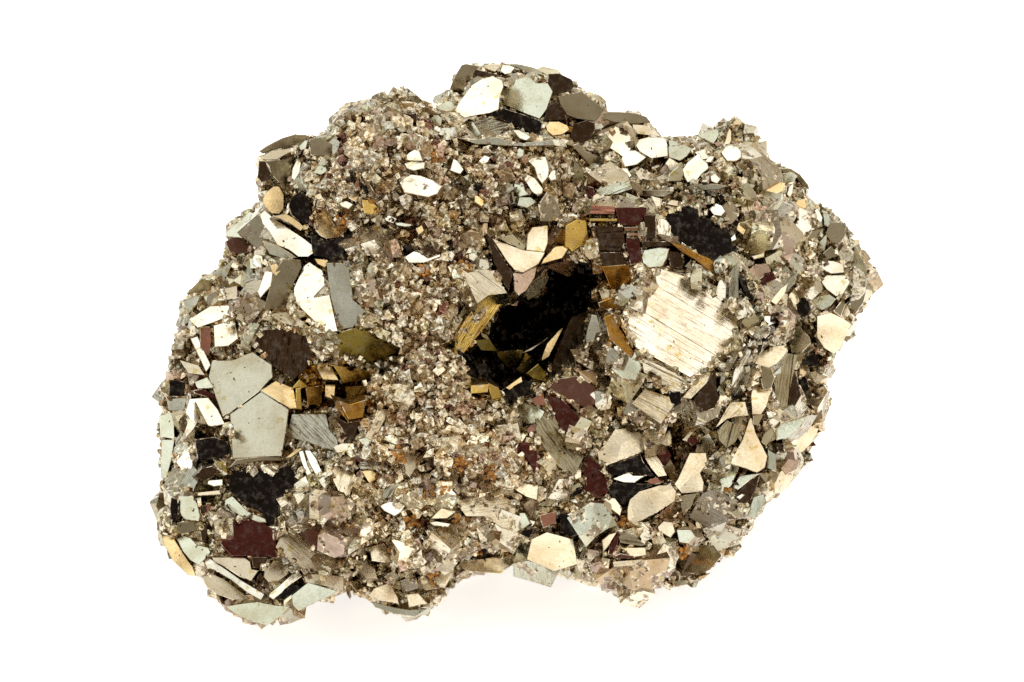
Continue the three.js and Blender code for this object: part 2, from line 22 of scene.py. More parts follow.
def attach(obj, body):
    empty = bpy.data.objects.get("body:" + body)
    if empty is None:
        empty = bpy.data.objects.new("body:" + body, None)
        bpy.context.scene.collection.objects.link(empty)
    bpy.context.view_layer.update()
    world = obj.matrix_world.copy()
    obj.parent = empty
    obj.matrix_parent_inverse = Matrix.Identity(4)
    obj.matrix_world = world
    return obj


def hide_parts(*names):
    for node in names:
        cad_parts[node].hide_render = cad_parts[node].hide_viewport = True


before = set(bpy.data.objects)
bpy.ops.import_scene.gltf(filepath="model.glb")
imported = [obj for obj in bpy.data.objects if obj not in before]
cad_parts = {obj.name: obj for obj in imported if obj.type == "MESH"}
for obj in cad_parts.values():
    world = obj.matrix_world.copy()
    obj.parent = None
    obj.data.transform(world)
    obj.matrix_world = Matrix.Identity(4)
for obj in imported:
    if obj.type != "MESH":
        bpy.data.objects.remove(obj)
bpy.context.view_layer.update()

MM = 0.001
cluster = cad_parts["pyrite_cluster"]

# %% [markdown]
# ## Where the eye stands
#
# The specimen is laid out as it is seen from its best side, half-way up over a table. A place on it is read
# on a plane through its middle, square to the line of sight, in millimetres to the right and up. Each such
# reading is a ray from the eye, and the crystal face lies somewhere along that ray. The camera comes first
# because everything that is placed on the eye's plane needs it.

# %% The eye, its plane and the camera
EYE_DISTANCE = 332 * MM
EYE_ELEVATION = math.radians(30)
MIDDLE = Vector((-0.66, -5.04, 17.6)) * MM
RIGHT = Vector((1, 0, 0))
UP = Vector((0, math.sin(EYE_ELEVATION), math.cos(EYE_ELEVATION)))
TOWARDS = Vector((0, -math.cos(EYE_ELEVATION), math.sin(EYE_ELEVATION)))
EYE = MIDDLE + TOWARDS * EYE_DISTANCE

SENSOR_WIDTH = 36
VIEW_WIDTH = 85.33 * MM


def sight(u, v):
    """The direction from the eye through a place of its plane, in millimetres right and up."""
    return (MIDDLE + (RIGHT * u + UP * v) * MM - EYE).normalized()


def seen_at(points):
    """Where rows of points appear on the eye's plane: millimetres right, and millimetres up."""
    from_eye = points - np.array(EYE)
    shrink = -EYE_DISTANCE / (from_eye @ np.array(TOWARDS)) / MM
    return from_eye @ np.array(RIGHT) * shrink, from_eye @ np.array(UP) * shrink


bpy.ops.object.camera_add(location=EYE)
camera = bpy.context.object
camera.name = "bench_camera"
camera.rotation_euler = (-TOWARDS).to_track_quat("-Z", "Y").to_euler()
camera.data.sensor_width = SENSOR_WIDTH
camera.data.lens = SENSOR_WIDTH * EYE_DISTANCE / VIEW_WIDTH
camera.data.clip_start = 0.01
camera.data.clip_end = 20
bpy.context.scene.camera = camera
print("camera", [round(x, 4) for x in camera.location], "lens", round(camera.data.lens, 1))

# %% [markdown]
# ## The surface that everything grows on
#
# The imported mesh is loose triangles, so a copy of it is merged before it is used. The copy is never shown.
# It answers two questions again and again: how far along a ray from the eye the stone begins, and where on
# the whole skin, back and underside too, the next crystal can take root.

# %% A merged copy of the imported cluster
def fresh_start():
    """Leaves edit mode and leaves nothing selected."""
    if bpy.context.object and bpy.context.object.mode != "OBJECT":
        bpy.ops.object.mode_set(mode="OBJECT")
    bpy.ops.object.select_all(action="DESELECT")


def merged_copy(node, name):
    """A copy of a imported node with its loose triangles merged."""
    copy = bpy.data.objects.new(name, node.data.copy())
    bpy.context.scene.collection.objects.link(copy)
    fresh_start()
    copy.select_set(True)
    bpy.context.view_layer.objects.active = copy
    bpy.ops.object.mode_set(mode="EDIT")
    bpy.ops.mesh.select_all(action="SELECT")
    bpy.ops.mesh.remove_doubles(threshold=0.002 * MM)
    bpy.ops.object.mode_set(mode="OBJECT")
    return copy


root_stone = merged_copy(cluster, "root_stone")
root_points = np.empty(len(root_stone.data.vertices) * 3)
root_stone.data.vertices.foreach_get("co", root_points)
root_points = root_points.reshape(-1, 3)
root_triangles = np.array([list(face.vertices) for face in root_stone.data.polygons])
root_tree = BVHTree.FromPolygons([Vector(point) for point in root_points], root_triangles.tolist())
print("root surface:", len(root_points), "points,", len(root_triangles), "triangles")


# %% Reading the stone's depth along a ray from the eye
def stone_at(u, v):
    """The first point of the stone on the ray through a place of the eye's plane, or None."""
    place, normal, index, distance = root_tree.ray_cast(EYE, sight(u, v))
    return place


print("stone in the middle of the view, mm:", [round(x / MM, 1) for x in stone_at(-8, -8)])

# %% [markdown]
# ## Looks of the faces
#
# A clean pyrite face is a mirror, so its tone says mostly where it leans: up to the soft light it is white,
# level it is the grey-brown of the room, and straight at the eye it is nearly black. Age adds a film.
# Pyrite tarnishes from pale brass over gold and bronze to maroon and sooty black. Each look below is a lean
# and a film: how far the face leans to the right and up for one step towards the eye, and the colour of its
# metal. The umber look is in part a dark brown film and in part a painted shadow: it is also given to dark
# faces laid where the stone only lies in brown shade.

# %% Colours as they are written, and as light
def linear(code):
    """Turns an sRGB hex colour into linear light."""
    parts = [int(code[place:place + 2], 16) / 255 for place in (1, 3, 5)]
    return tuple(part / 12.92 if part <= 0.04045 else ((part + 0.055) / 1.055) ** 2.4 for part in parts)


LEAN = {
    "white": (-0.14, 0.46),
    "cream": (0.18, 0.38),
    "ivory": (0.30, 0.355),
    "honey": (0.24, 0.34),
    "pale": (-0.40, 0.22),
    "ash": (-0.40, 0.22),
    "olive": (0.44, 0.04),
    "taupe": (0.36, -0.06),
    "grey": (-0.36, -0.08),
    "mauve": (0.26, 0.22),
    "salmon": (0.24, 0.12),
    "dusk": (0.12, 0.02),
    "umber": (0.10, -0.04),
    "maroon": (0.10, 0.08),
    "black": (0.0, 0.04),
    "gold": (0.34, -0.22),
    "amber": (0.34, -0.18),
    "moss": (0.34, -0.18),
    "floor": (-0.06, -0.46),
}

FILM = {
    "white": "#EDE7D7",
    "cream": "#EADEC6",
    "ivory": "#FFF8EA",
    "honey": "#E8CFA0",
    "pale": "#CDCDBB",
    "ash": "#BAB4A2",
    "olive": "#CBC4A8",
    "taupe": "#A89F88",
    "grey": "#D0CCBD",
    "bronze": "#B8A283",
    "mauve": "#BFA898",
    "salmon": "#B88270",
    "dusk": "#8A655A",
    # Umber: a dark brown film, and also the colour of the dark faces laid as painted shadow.
    "umber": "#5A4838",
    "maroon": "#6A3A36",
    "black": "#2E2A29",
    "gold": "#D6B662",
    "amber": "#B88A3E",
    "moss": "#9C8A44",
    "floor": "#DCD2BA",
}
FILM = {look: linear(code) for look, code in FILM.items()}
print("looks:", ", ".join(FILM))

# %% [markdown]
# ## The faces that can be told apart
#
# More than three hundred faces are large or clear enough to know one by one. They are written down as
# notes, one face a row: its look, how proud of the mass it stands in millimetres, the slope of its growth
# lines in degrees, or plain where none show, and its corners as the eye sees them, in millimetres right and
# up.

# %% Outlines of the faces
# Left of the middle, over the small pocket.
LEFT_OF_MIDDLE = """
taupe 0.7 plain -17.6,6.7 -19.1,6.8 -19.8,5.7 -20.7,2.6 -19.2,2.8 -17.5,6.2
white 1.3 plain -17.4,6.2 -16.9,6.6 -15.8,5.9 -15.2,3.9 -14.5,0.8 -15.5,0.7 -18.2,3.3 -18.2,4.4
grey 1.1 plain -15.5,6.5 -13.6,6.5 -13.2,3.4 -12.1,2.6 -13.3,1.1 -14.4,0.9 -15.2,4
honey 0.8 plain -16.5,6.9 -15.4,6.8 -15.1,6.5 -15.6,6.1 -16.2,6.4
cream 0.9 -35 -20.8,1.8 -18.8,2.8 -17.1,1.3 -16.5,0.9
umber 0.8 82 -21.4,0.1 -20.7,0.9 -19.2,1 -17.2,0.4 -16.5,-1.6 -18.2,-3.2 -20,-2 -21.4,-0.5
moss 0.9 plain -15.2,0 -14.1,0.8 -13,1.1 -9.8,-0.5 -9.4,-0.9 -11.8,-1.8 -14.9,-1.1
ash 0.7 plain -25,-1.6 -23.3,-1.6 -21.6,-0.9 -20,-2 -20,-3 -20.95,-4.1 -23.5,-6 -24.1,-6.3 -25.3,-3
ash 1 plain -20.9,-4.2 -18.6,-5.7 -18.8,-7.3 -19.2,-9.6 -23.3,-9.8 -23.5,-6.1
honey 0.9 plain -20.9,-4.1 -19.7,-3.3 -18.2,-3.9 -17.9,-5.6 -18.5,-5.65
gold 0.4 plain -18,-4 -17.6,-3.9 -17.5,-5.7 -18,-5.7
grey 0.8 -40 -18.3,-6.1 -15.5,-6.1 -15.2,-7.4 -14.5,-8.2 -14.5,-9.2 -18.7,-7.9
white 0.8 plain -11.7,-1.8 -9.7,-1.6 -10.8,-2.4
cream 0.8 60 -11.2,-5.7 -10.1,-5.7 -11.8,-8.6 -12.5,-8.6
"""
# In and round the small amber pocket.
SMALL_POCKET = """
gold 0.3 plain -18.3,-3.9 -17.7,-3.2 -17,-3.8 -17.6,-4
honey 0.4 plain -16.4,-1.9 -15.2,-1.8 -14.4,-3.3 -15.8,-3.2
gold 0.4 plain -14.9,-2 -12,-2.4 -11.9,-3.2 -14,-3.5
honey 0.2 plain -15.6,-3.6 -14.7,-3.6 -14.8,-4.9 -15.6,-4.6
amber 0.2 plain -17.2,-3.9 -15.8,-3.7 -15.9,-5.2 -17,-5.4
gold 0.2 55 -13.9,-3.8 -12.2,-3.7 -12.3,-4.6 -13.7,-5.2
amber 0.1 plain -14.4,-5 -13.5,-5.3 -12.2,-4.9 -12.4,-6.4 -13.6,-6.6
umber 0.1 plain -15,-6.2 -13.8,-6.8 -12.6,-6.6 -13.3,-8.5
"""
# The left flank, out to the rim.
LEFT_FLANK = """
white 0.8 plain -26.9,-4.8 -25.3,-4.7 -24.5,-5.7 -23.9,-6.9 -25,-7.1 -26.8,-6.6 -27.2,-5.9
grey 0.3 plain -28.8,-4.8 -27.1,-4.7 -27.3,-5.9 -28.6,-5.8
cream 0.3 plain -27.7,-1.6 -26.1,-2 -25.5,-2.9 -27,-2.7
white 0.5 plain -26.8,0.2 -26.2,0.4 -25.1,-2 -25.5,-2.6
white 0.5 plain -26.9,1.8 -25.2,2.9 -23.6,3 -23.2,2.2 -25,1.5 -26.2,1.1
white 0.5 plain -24.9,1.3 -23.1,1.8 -22.8,0.2 -23.6,-0.4 -24.8,-0.5
salmon 0.3 plain -26,1.2 -25.2,1.2 -25,0 -25.3,-1.3 -26,-0.6
pale 0.3 plain -26.5,-3.4 -25.4,-3 -24.8,-3.9 -26.2,-4
maroon 0.5 plain -26.6,-4.1 -25.8,-4 -24.8,-4.4 -24.2,-5.2 -25.2,-4.7 -26.4,-4.4
black 0.1 plain -28.6,-3.2 -27.2,-3.4 -27.3,-4.6 -28.6,-4.6
black 0.1 plain -26.4,-8.2 -24.8,-8 -23.7,-8.4 -23.6,-9.6 -24.9,-10 -26.2,-9.9
pale 0.3 plain -29.4,-6.2 -28.2,-5.9 -28.1,-8.2 -29.3,-8
pale 0.3 plain -29.2,-8.2 -28.1,-8.2 -28.4,-10 -28.8,-11.5 -29.3,-11.4
olive 0.3 plain -27.2,3.9 -25.9,5.2 -24.9,5 -25.2,4.2
grey 0.3 plain -27.5,3.4 -25.9,3.9 -26.2,3.1 -27,2.2
grey 0.3 plain -24.9,5.6 -23.2,6.7 -24,4.9
pale 0.3 plain -21.9,6.9 -21,6.9 -20.8,6.1 -21.8,6
white 0.5 plain -20.6,5.8 -19.9,5.8 -20.1,4.6 -21,3.6 -21.2,4.1
cream 0.4 plain -24,4.4 -22.9,4.6 -22.8,3.5 -23.8,3.4
"""
# Round the large pocket, anticlockwise from its upper left.
ROUND_THE_LARGE_POCKET = """
cream 0.9 plain -1.7,8.6 0.9,7.6 2.8,7.4 2.2,6.4 1,5.75 0.2,5.9 -0.4,6.6
cream 1.1 plain 1.3,8.9 1.7,9.5 3,9.65 3,8.2 2.7,7.4 1.2,7.6
olive 0.7 plain -0.3,8.8 0.1,8.9 1.2,7.9 1,7.5 -1,8.5
umber 0.5 plain -2.2,9 -1.8,8.6 -0.4,6.4 0.1,5.8 -0.3,4.1 -1.5,6.5
mauve 0.5 plain 0.1,5.7 1,5.8 2.1,6.2 1.9,5.3 1.2,4.2 0.6,3.8 0.2,4.2
cream 0.9 -40 -4,5.6 -2.2,6 -1.9,5.9 -0.4,4 -2,3.8 -2.9,3.1 -3.7,4.9
gold 0.6 58 -3,3.1 -2.1,3.9 -0.4,3.8 -1.5,2.2 -2.7,0.6 -4.1,-1.1 -4.8,-0.8 -4.7,0.5 -3.7,2.1
olive 0.4 plain -4,2.9 -3.3,3 -4.7,0.8 -4.9,1.2
moss 0.3 plain -1.3,-0.9 1,-0.7 0.6,-1.7 -0.3,-2.3 -1.2,-1.3
moss 0.2 plain -3.2,0.1 -1.9,0.2 -1.1,-0.9 -2.6,-0.8
olive 0.2 plain -2.6,0.8 -2.1,0.6 -1.6,-0.2 -2.6,0.4
gold 0.4 plain 1.1,-0.9 1.7,-1.4 1.2,-2.6 0.7,-2.1
moss 0.3 plain 1.2,-2.7 2.2,-1.9 3,-2.9 2.8,-3.4 1.8,-3.2
honey 0.6 plain 2.3,-1.8 3.1,-1.3 4.4,1.3 3.8,0.8 2.9,-0.2
cream 0.6 plain 1.3,-0.8 2.6,-0.1 3.8,0.9 2.6,0.1 1.6,-0.7
umber 0.5 plain 3,-3.2 4.4,-2 5.4,-0.5 6,0.9 6.3,2.6 5,2 4.4,0.8 3.6,-1.2
grey 0.6 plain 6.2,0.8 6.6,2.2 7.7,2 8,0.2 7,-0.2 6.1,0
amber 0.6 plain 7.7,2 8.3,2.2 10.4,-1.3 10.1,-1.6 8.1,0.2
pale 0.8 plain 8.2,-2.3 9,-1.6 9.3,-0.8 10.3,-0.9 10.8,-2.2 10.3,-3.3 9.1,-3.1
dusk 0.8 plain 3,-3.9 3.6,-3.2 5.4,-2.9 6.9,-3.8 7.3,-5.2 6,-5.5 4.9,-5.1 4.3,-4.6
maroon 0.7 plain 2.7,-4.4 4.1,-4.9 6.2,-6.6 5,-8 4,-7.2
salmon 0.7 plain 1.5,-4.9 2.6,-4.2 2.8,-5.4 1.9,-5.3
pale 1 plain 0.7,-5.3 1.3,-5 2.8,-5.9 2.1,-6.8 0.5,-7.1 0.9,-6.2
gold 0.4 plain -3.4,-3.7 -1.9,-3.6 -2,-4.3 -3.4,-4.4
gold 0.5 plain -2,-3.5 -1.1,-3.9 -0.8,-4.7 -1.7,-4.9
honey 0.5 plain -0.6,-3.9 0.8,-2.9 0.9,-3.4 -0.2,-4.1
black 0.1 plain -0.7,-4.2 1,-3.3 1.8,-3.4 1.6,-4.4 -0.3,-5
amber 0.4 plain 7.5,6.2 9.8,6.4 9.9,5.2 9.3,4.3 8.2,4.5
amber 0.2 plain 7.2,3.2 8.9,3.8 8.9,2.8 7.4,2.4
gold 0.6 plain 4.5,9.6 5.4,10.1 6.2,10 6.4,8.3 5,7.4 4.4,8
honey 0.5 plain 2.6,6.8 3.6,7.9 4.9,8 4.2,6.9 2.4,6.4
"""
# The reddish bars of one stepped crystal, right of the large pocket's top. The last row, the thin umber
# band under the bars, is a painted shadow: a dark face laid where the stone only lies in shade.
REDDISH_BARS = """
salmon 0.8 0 6.6,11.3 8.6,11.2 8.5,10.6 6.5,10.6
gold 0.9 plain 6.5,10.2 8.8,10.2 8.8,9.95 6.5,9.95
umber 1 0 7,9.6 9.2,9.5 9.4,8.3 9,7.5 7.3,7.6
umber 0.8 plain 7.4,7.4 8.9,7.4 9.8,6.3 7.6,6.2
maroon 0.9 plain 8.6,11.1 11.3,11.2 11.2,10.4 10.6,9.6 9,9.7
salmon 0.9 plain 9.3,9.5 10.5,9.5 10.4,9.2 9.4,9.2
salmon 0.9 plain 9.6,9 10.6,9 10.6,8.8 9.6,8.8
maroon 0.8 plain 9.5,8.6 10.7,8.4 10.8,6.7 9.9,6.3 9.6,7.4
umber 0.4 plain 11,10.5 12,10.5 12,8.6 11.2,8.4
umber 0.3 plain 10.8,8.3 13,8.3 13.4,7.9 10.9,7.8
"""
# The large striated crystal, its stepped side, and what grows against it.
STRIATED_CRYSTAL = """
ivory 1.2 -29 12.3,6 15,5.2 17.3,3.4 18.7,2.4 18.9,1.2 17.7,-0.7 16.7,-1.9 14.8,-3 10.3,-0.5 9.4,2.3
  10.3,3.2 11.3,4.7
floor 1.2 -29 10.8,-1.3 14.6,-3.2 13.9,-4.6 11,-2.6
cream 1 -29 10,-5.2 11.1,-4 13.8,-4.9 12.4,-6.9
black 0.3 plain 13,-3.8 14,-3.3 14.1,-5.2 13.3,-5.6
cream 1 45 14.2,-4.7 14.9,-3.9 15.8,-2.9 16.9,-2.1 16.2,-3.5 15.4,-4.3 14.9,-4.8
umber 0.6 plain 15.1,-5 15.5,-4.4 16.2,-3.5 17,-2.2 17.1,-4.2 17.3,-4.8 16.9,-5.6 16,-5.9 15.3,-5.4
pale 0.9 plain 10.8,7 11,7.6 12.2,7.8 13.1,7.7 12.9,6.9 12.5,6.2 11.4,6.1 10.9,6.5
umber 0.3 plain 13,7.2 13.2,7.5 13.9,7.4 14.4,6.8 14.2,6 13.2,6.2
grey 0.4 plain 14.3,6.2 14.9,6.8 15.1,5.9
amber 0.4 -35 13.2,8.2 14.2,8 15.4,7.3 16.4,6.9 17.2,6.3 17.6,5.8 17,5.5 16.4,5.9 15.2,6.8 14.2,7.4
salmon 0.4 plain 16.6,5.2 17.1,5.3 16.8,4.6
white 1.2 plain 17.9,5.5 17.9,4.5 17.8,3.5 17.4,3.3 16.8,3.8 17.3,5.2
grey 0.9 85 18.1,5.6 18.8,6.5 18.9,3.6 18.1,3.5
"""
# The right flank, with its long blades and the small crystals along its rim.
RIGHT_FLANK = """
mauve 0.8 plain 19.1,5.5 20.3,6.4 21.2,6.5 21.6,5.8 20.6,5.1 19.5,5.2
maroon 0.6 plain 20.6,5.1 21,5.7 21.8,5.7 22.1,5 21.6,4.5 20.9,4.6
black 0.1 plain 18.9,5.3 19.5,5.1 19.7,4.4 20.1,3.4 19.7,3.6 19.2,4.5
cream 0.7 plain 21.5,3.3 22.4,4.4 23,4.8 22.7,3.9 22,3
cream 0.7 plain 22.8,3.2 23.4,4.6 23.8,4.2 24,3.3 23.4,2.8 22.8,2.7
black 0.2 plain 23.9,2.9 24.1,3.5 24.7,3.5 24.9,2.6 24.4,2 23.8,2.2
olive 0.6 plain 19.2,2.2 20.2,2.4 20.8,1.6 20.3,1 19.6,1 19.1,1.5
white 0.6 plain 21,2.1 21.9,2.1 22,1.5 21.3,1.2 21,1.5
white 0.6 plain 22.1,1.9 23,1.7 22.8,1.2 22.2,1.2
black 0.1 plain 20.6,-1.1 20.5,-0.4 21,0.5 21.7,0.5 21,-0.1 20.8,-0.9
pale 0.8 plain 23.2,0.5 24.1,1.6 24.2,1 24.8,0.3 24.9,-0.2 24.2,-0.9 23.3,-1 23.1,-0.2
umber 0.2 plain 24.2,1.3 24.6,1.2 24.8,0.4 24.5,0.3
grey 0.8 65 17.3,-3.9 18.3,-2.2 19.3,-0.4 19,-0.3 18.2,-1 17.4,-2.8
white 0.9 65 18.3,-3.9 19.4,-2.3 20.4,0.3 20,0.5 19.2,-1 18.5,-2.6
grey 0.7 60 18.5,-4.6 20,-3.3 20.2,-1.9 19.2,-3
cream 0.9 plain 20.2,-1.9 20.5,-1.2 21.4,-0.5 22.8,-0.3 23,-0.8 22.2,-1.8 21.4,-2.2
taupe 0.7 plain 20.8,-2.2 21.6,-2.2 21.9,-3.1 21.6,-3.9 20.9,-3.9 20.7,-3
olive 0.8 80 22,-2.2 22.9,-1 23.9,-1.2 23.5,-2.3 23.1,-4 22.9,-5.8 22.1,-5.2 21.8,-3.5
umber 0.4 plain 23.2,-3 23.7,-2.8 24.1,-4.5 23.5,-5.6 23,-5.2
black 0.2 plain 24.1,-1.2 25,-0.4 25.6,-1.3 25.5,-2.1 24.8,-2.1
black 0.2 plain 23.9,-3.1 24.6,-3.2 24.8,-4 24.1,-4.4
cream 0.8 plain 20.1,-3.4 20.7,-4 21.6,-4.1 21.2,-5.5 20.8,-6.1 20,-6.1 19.9,-4.6
olive 0.5 plain 20.1,-6.2 21,-6.1 20.5,-7.1 20.1,-6.9
olive 0.9 70 17.1,-7.5 17.9,-6.6 18.7,-7 19,-7.6 18.6,-8.4 17.9,-8.9 17.3,-8.3
cream 0.8 50 17,-7.2 18.2,-5.1 19.4,-5.1 19.7,-6.2 18.6,-6.3 17.9,-6.5
cream 0.8 plain 18.1,-10.2 19.2,-8.2 19.8,-6.4 20,-6.4 20.3,-7.6 21,-9 21.3,-9.6 21.1,-10.5 20.4,-11
  19.5,-10.6
olive 0.6 plain 21,-7.7 21.7,-7.2 21.9,-7.8 21.2,-8.8 20.8,-8.4
pale 0.5 plain 21.9,-7.6 22.4,-6.9 24.6,-6.2 24,-7.2 23,-8.1 22,-8.3
umber 0.1 plain 22,-8.6 22.6,-8.5 22.7,-9.3 22.2,-9.2
cream 0.5 plain 23.5,-8.1 24.9,-7 25.6,-7.3 25,-8.5 24.2,-9.3 23.6,-9.2
pale 0.4 plain 21.3,-9 22,-9.4 22,-10.9 21.2,-10.6
mauve 0.3 plain 23,-9.8 24,-9.9 23.8,-10.7 22.8,-11.2 22.4,-10.6
cream 0.8 plain 25.4,0.3 25.4,2.1 26.6,2.4 27.6,1.9 28.3,1.4 27.3,-0.7 26.8,-1.1 26,-0.6
pale 0.7 plain 25.1,2.9 25.3,3.7 26.4,3.9 27,3.5 26.4,2.8 25.8,2.6
white 0.8 plain 25.7,5 26.2,5.5 27.8,5.5 28.2,4.9 27.6,3.9 27,3.7 26.2,4.3
white 0.7 plain 25.8,6.7 26.8,6.7 27.6,6.4 27.7,5.7 26.6,5.6 25.8,6
taupe 0.5 plain 25.9,7.3 26.6,7.9 27.3,7.1 26.3,6.8
taupe 0.4 plain 26.8,2.5 27.5,3.4 27.8,3 27.4,2
cream 0.5 plain 27.4,1.9 27.9,3.4 28.2,2.4 28,1.9
pale 0.3 plain 28.2,6.4 28.6,7.8 29.4,6.5 29.6,5.5 28.8,5.3
taupe 0.3 plain 28.2,3 28.5,4.2 29.6,4.4 29.3,3.2 28.6,2.2
white 0.6 plain 19.5,7.5 20.1,7.9 21.1,7.7 21,7 20.2,6.8
"""
# Lower right, down to the broken underside.
LOWER_RIGHT = """
cream 1 plain 7.1,-9.3 7.8,-8.5 8.6,-7.3 9.4,-7.3 10,-7.6 11,-7.5 11.1,-8.6 10.9,-9.2 10,-9.6 7.7,-10.4
  7.2,-9.9
cream 0.9 -52 10.8,-9.3 11.5,-8.9 12.4,-10.1 12.9,-11.2 12.2,-11.3 11.6,-10.6
black 0.6 plain 7.7,-10.6 10.7,-9.4 10.9,-10 11.9,-11.3 11,-11.2 9.8,-11 8.4,-11.2
white 0.8 plain 8.3,-11.5 9.7,-10.9 10.1,-11.2 11.1,-11.2 10.2,-11.8 9.3,-11.8
black 0.5 plain 8,-12 8.5,-11.8 9.9,-11.9 12,-11.9 10.6,-12.5 10,-13 9.4,-13.7 8.5,-13.2 8.1,-12.8
maroon 0.7 plain 11.9,-8.9 13,-9 13.3,-9.6 12.9,-10.3 12.2,-9.8
salmon 0.7 plain 11.1,-11.7 12,-11.3 12.6,-11.8 11.7,-12
cream 1 plain 9.6,-14 9.8,-13.2 10.6,-12.5 12.3,-12 13.3,-12 13.7,-12.5 13.6,-13.3 12.4,-14.1 11,-14.9
  9.8,-15.3 9.6,-14.8
salmon 0.5 plain 11.8,-14.7 13.4,-13.5 13.6,-13.3 13.2,-14 12.1,-14.7
cream 1 plain 13.8,-11.5 14.2,-10.6 14.8,-9.3 16.2,-9.3 16.3,-10.2 15.7,-11 16,-11.8 15.9,-12.5 14.1,-12.7
  13.5,-11.9
taupe 0.6 plain 14,-12.9 15.4,-12.7 15.1,-13.4 14.9,-13.9 14.2,-14.3
white 0.7 plain 12.5,-8.6 12.7,-7.5 13.2,-7.4 13.3,-8 13.3,-8.8
cream 0.6 plain 14.2,-8.2 14.8,-7.5 15.1,-7.6 14.6,-8.4
maroon 0.5 plain 14.5,-8.3 15,-7.8 15.5,-8.4 15.1,-8.8
olive 1 -52 2,-6.5 3.2,-6 4,-7.4 6,-9.6 5.2,-11.3 3.9,-10.5 1.9,-7.9
maroon 0.8 plain 5.9,-11.7 6.1,-9.2 7.4,-10.5 8.1,-11.8 7.9,-12.8 6.6,-12.9 6,-12.3
cream 0.6 plain 5.1,-10.9 5.8,-10.4 5.8,-11.4 5.2,-11.6
black 0.2 plain 4.2,-12.9 4.9,-12.2 5.7,-12.2 5.5,-13
olive 1 30 2.1,-13.7 4.1,-12.6 5.5,-11.8 5.9,-12.1 3.3,-13.8
cream 0.7 plain 7.2,-13.5 7.9,-13 8.6,-13.1 9.2,-13.9 9,-14.6 7.9,-13.7
white 0.6 plain 4.7,-13.2 5.6,-13.1 6.3,-13.6 5.9,-13.9 5,-13.5
black 0.3 plain 4,-14.3 4.9,-14.5 5.7,-15 5.6,-16.1 5,-16.3 4,-15.9
taupe 0.8 -15 8.9,-16.3 9.3,-16 10.2,-16.2 11,-16.9 10.8,-17.1 9,-16.8
maroon 0.6 plain 8,-17.8 8.1,-17.1 8.9,-16 8.8,-17 8.4,-17.8
cream 1 plain 9.1,-17.2 11.1,-17.2 11.2,-17.8 10,-18
dusk 0.8 plain 8.4,-18 9,-17.7 10.2,-17.9 10.2,-18.1 8.8,-18.2
cream 0.9 5 8.4,-18.4 10.9,-18.2 10.2,-18.7 8.5,-18.8
cream 0.8 plain 7.5,-16.6 8.1,-16.1 8.8,-15.9 8.1,-17 7.6,-17.6
cream 1.2 plain 1.6,-16.5 2.9,-15.9 5.1,-16.5 5.5,-18.6 3.5,-19.2 1.2,-18.2
cream 0.7 plain 12.1,-15.5 12.6,-15 13.4,-15.1 13.6,-15.9 13.2,-16.4 12.3,-15.9
pale 0.7 plain 13.7,-15.7 14.9,-15.7 15.3,-16.3 14.7,-16.9 13.9,-16.8
pale 0.6 plain 13.4,-18.7 14.5,-17.8 15.5,-17 16.8,-17 17.5,-17.9 16.5,-19.1 15.5,-19.5 14.5,-19.3
  13.5,-19.2
honey 0.3 plain 15.1,-20 15.6,-19.6 16.6,-19.3 16,-19.8
pale 0.3 plain 13.2,-20 14.4,-19.9 14.6,-20.3 13.6,-20.5
pale 0.7 plain 16.9,-11.1 18.3,-9.8 18.9,-10.6 18.3,-12 17.3,-12.8
pale 0.6 plain 18.3,-12.2 19,-11.2 20.7,-11 19.8,-11.6 18.8,-12.4
umber 0.2 plain 18.4,-13.1 19.3,-12.1 20.4,-11.2 20.7,-11.1 20.3,-12.4 19.8,-13.3 18.8,-13.6
white 0.4 plain 18.4,-12.9 18.9,-12.6 19.4,-12.8 19,-13.2
pale 0.3 plain 20.1,-13 21,-12.7 21.1,-13.3 20.2,-14.9 19.6,-14.6
olive 0.4 plain 18.2,-14.3 18.9,-13.9 19.2,-14.3 18.8,-14.9
"""
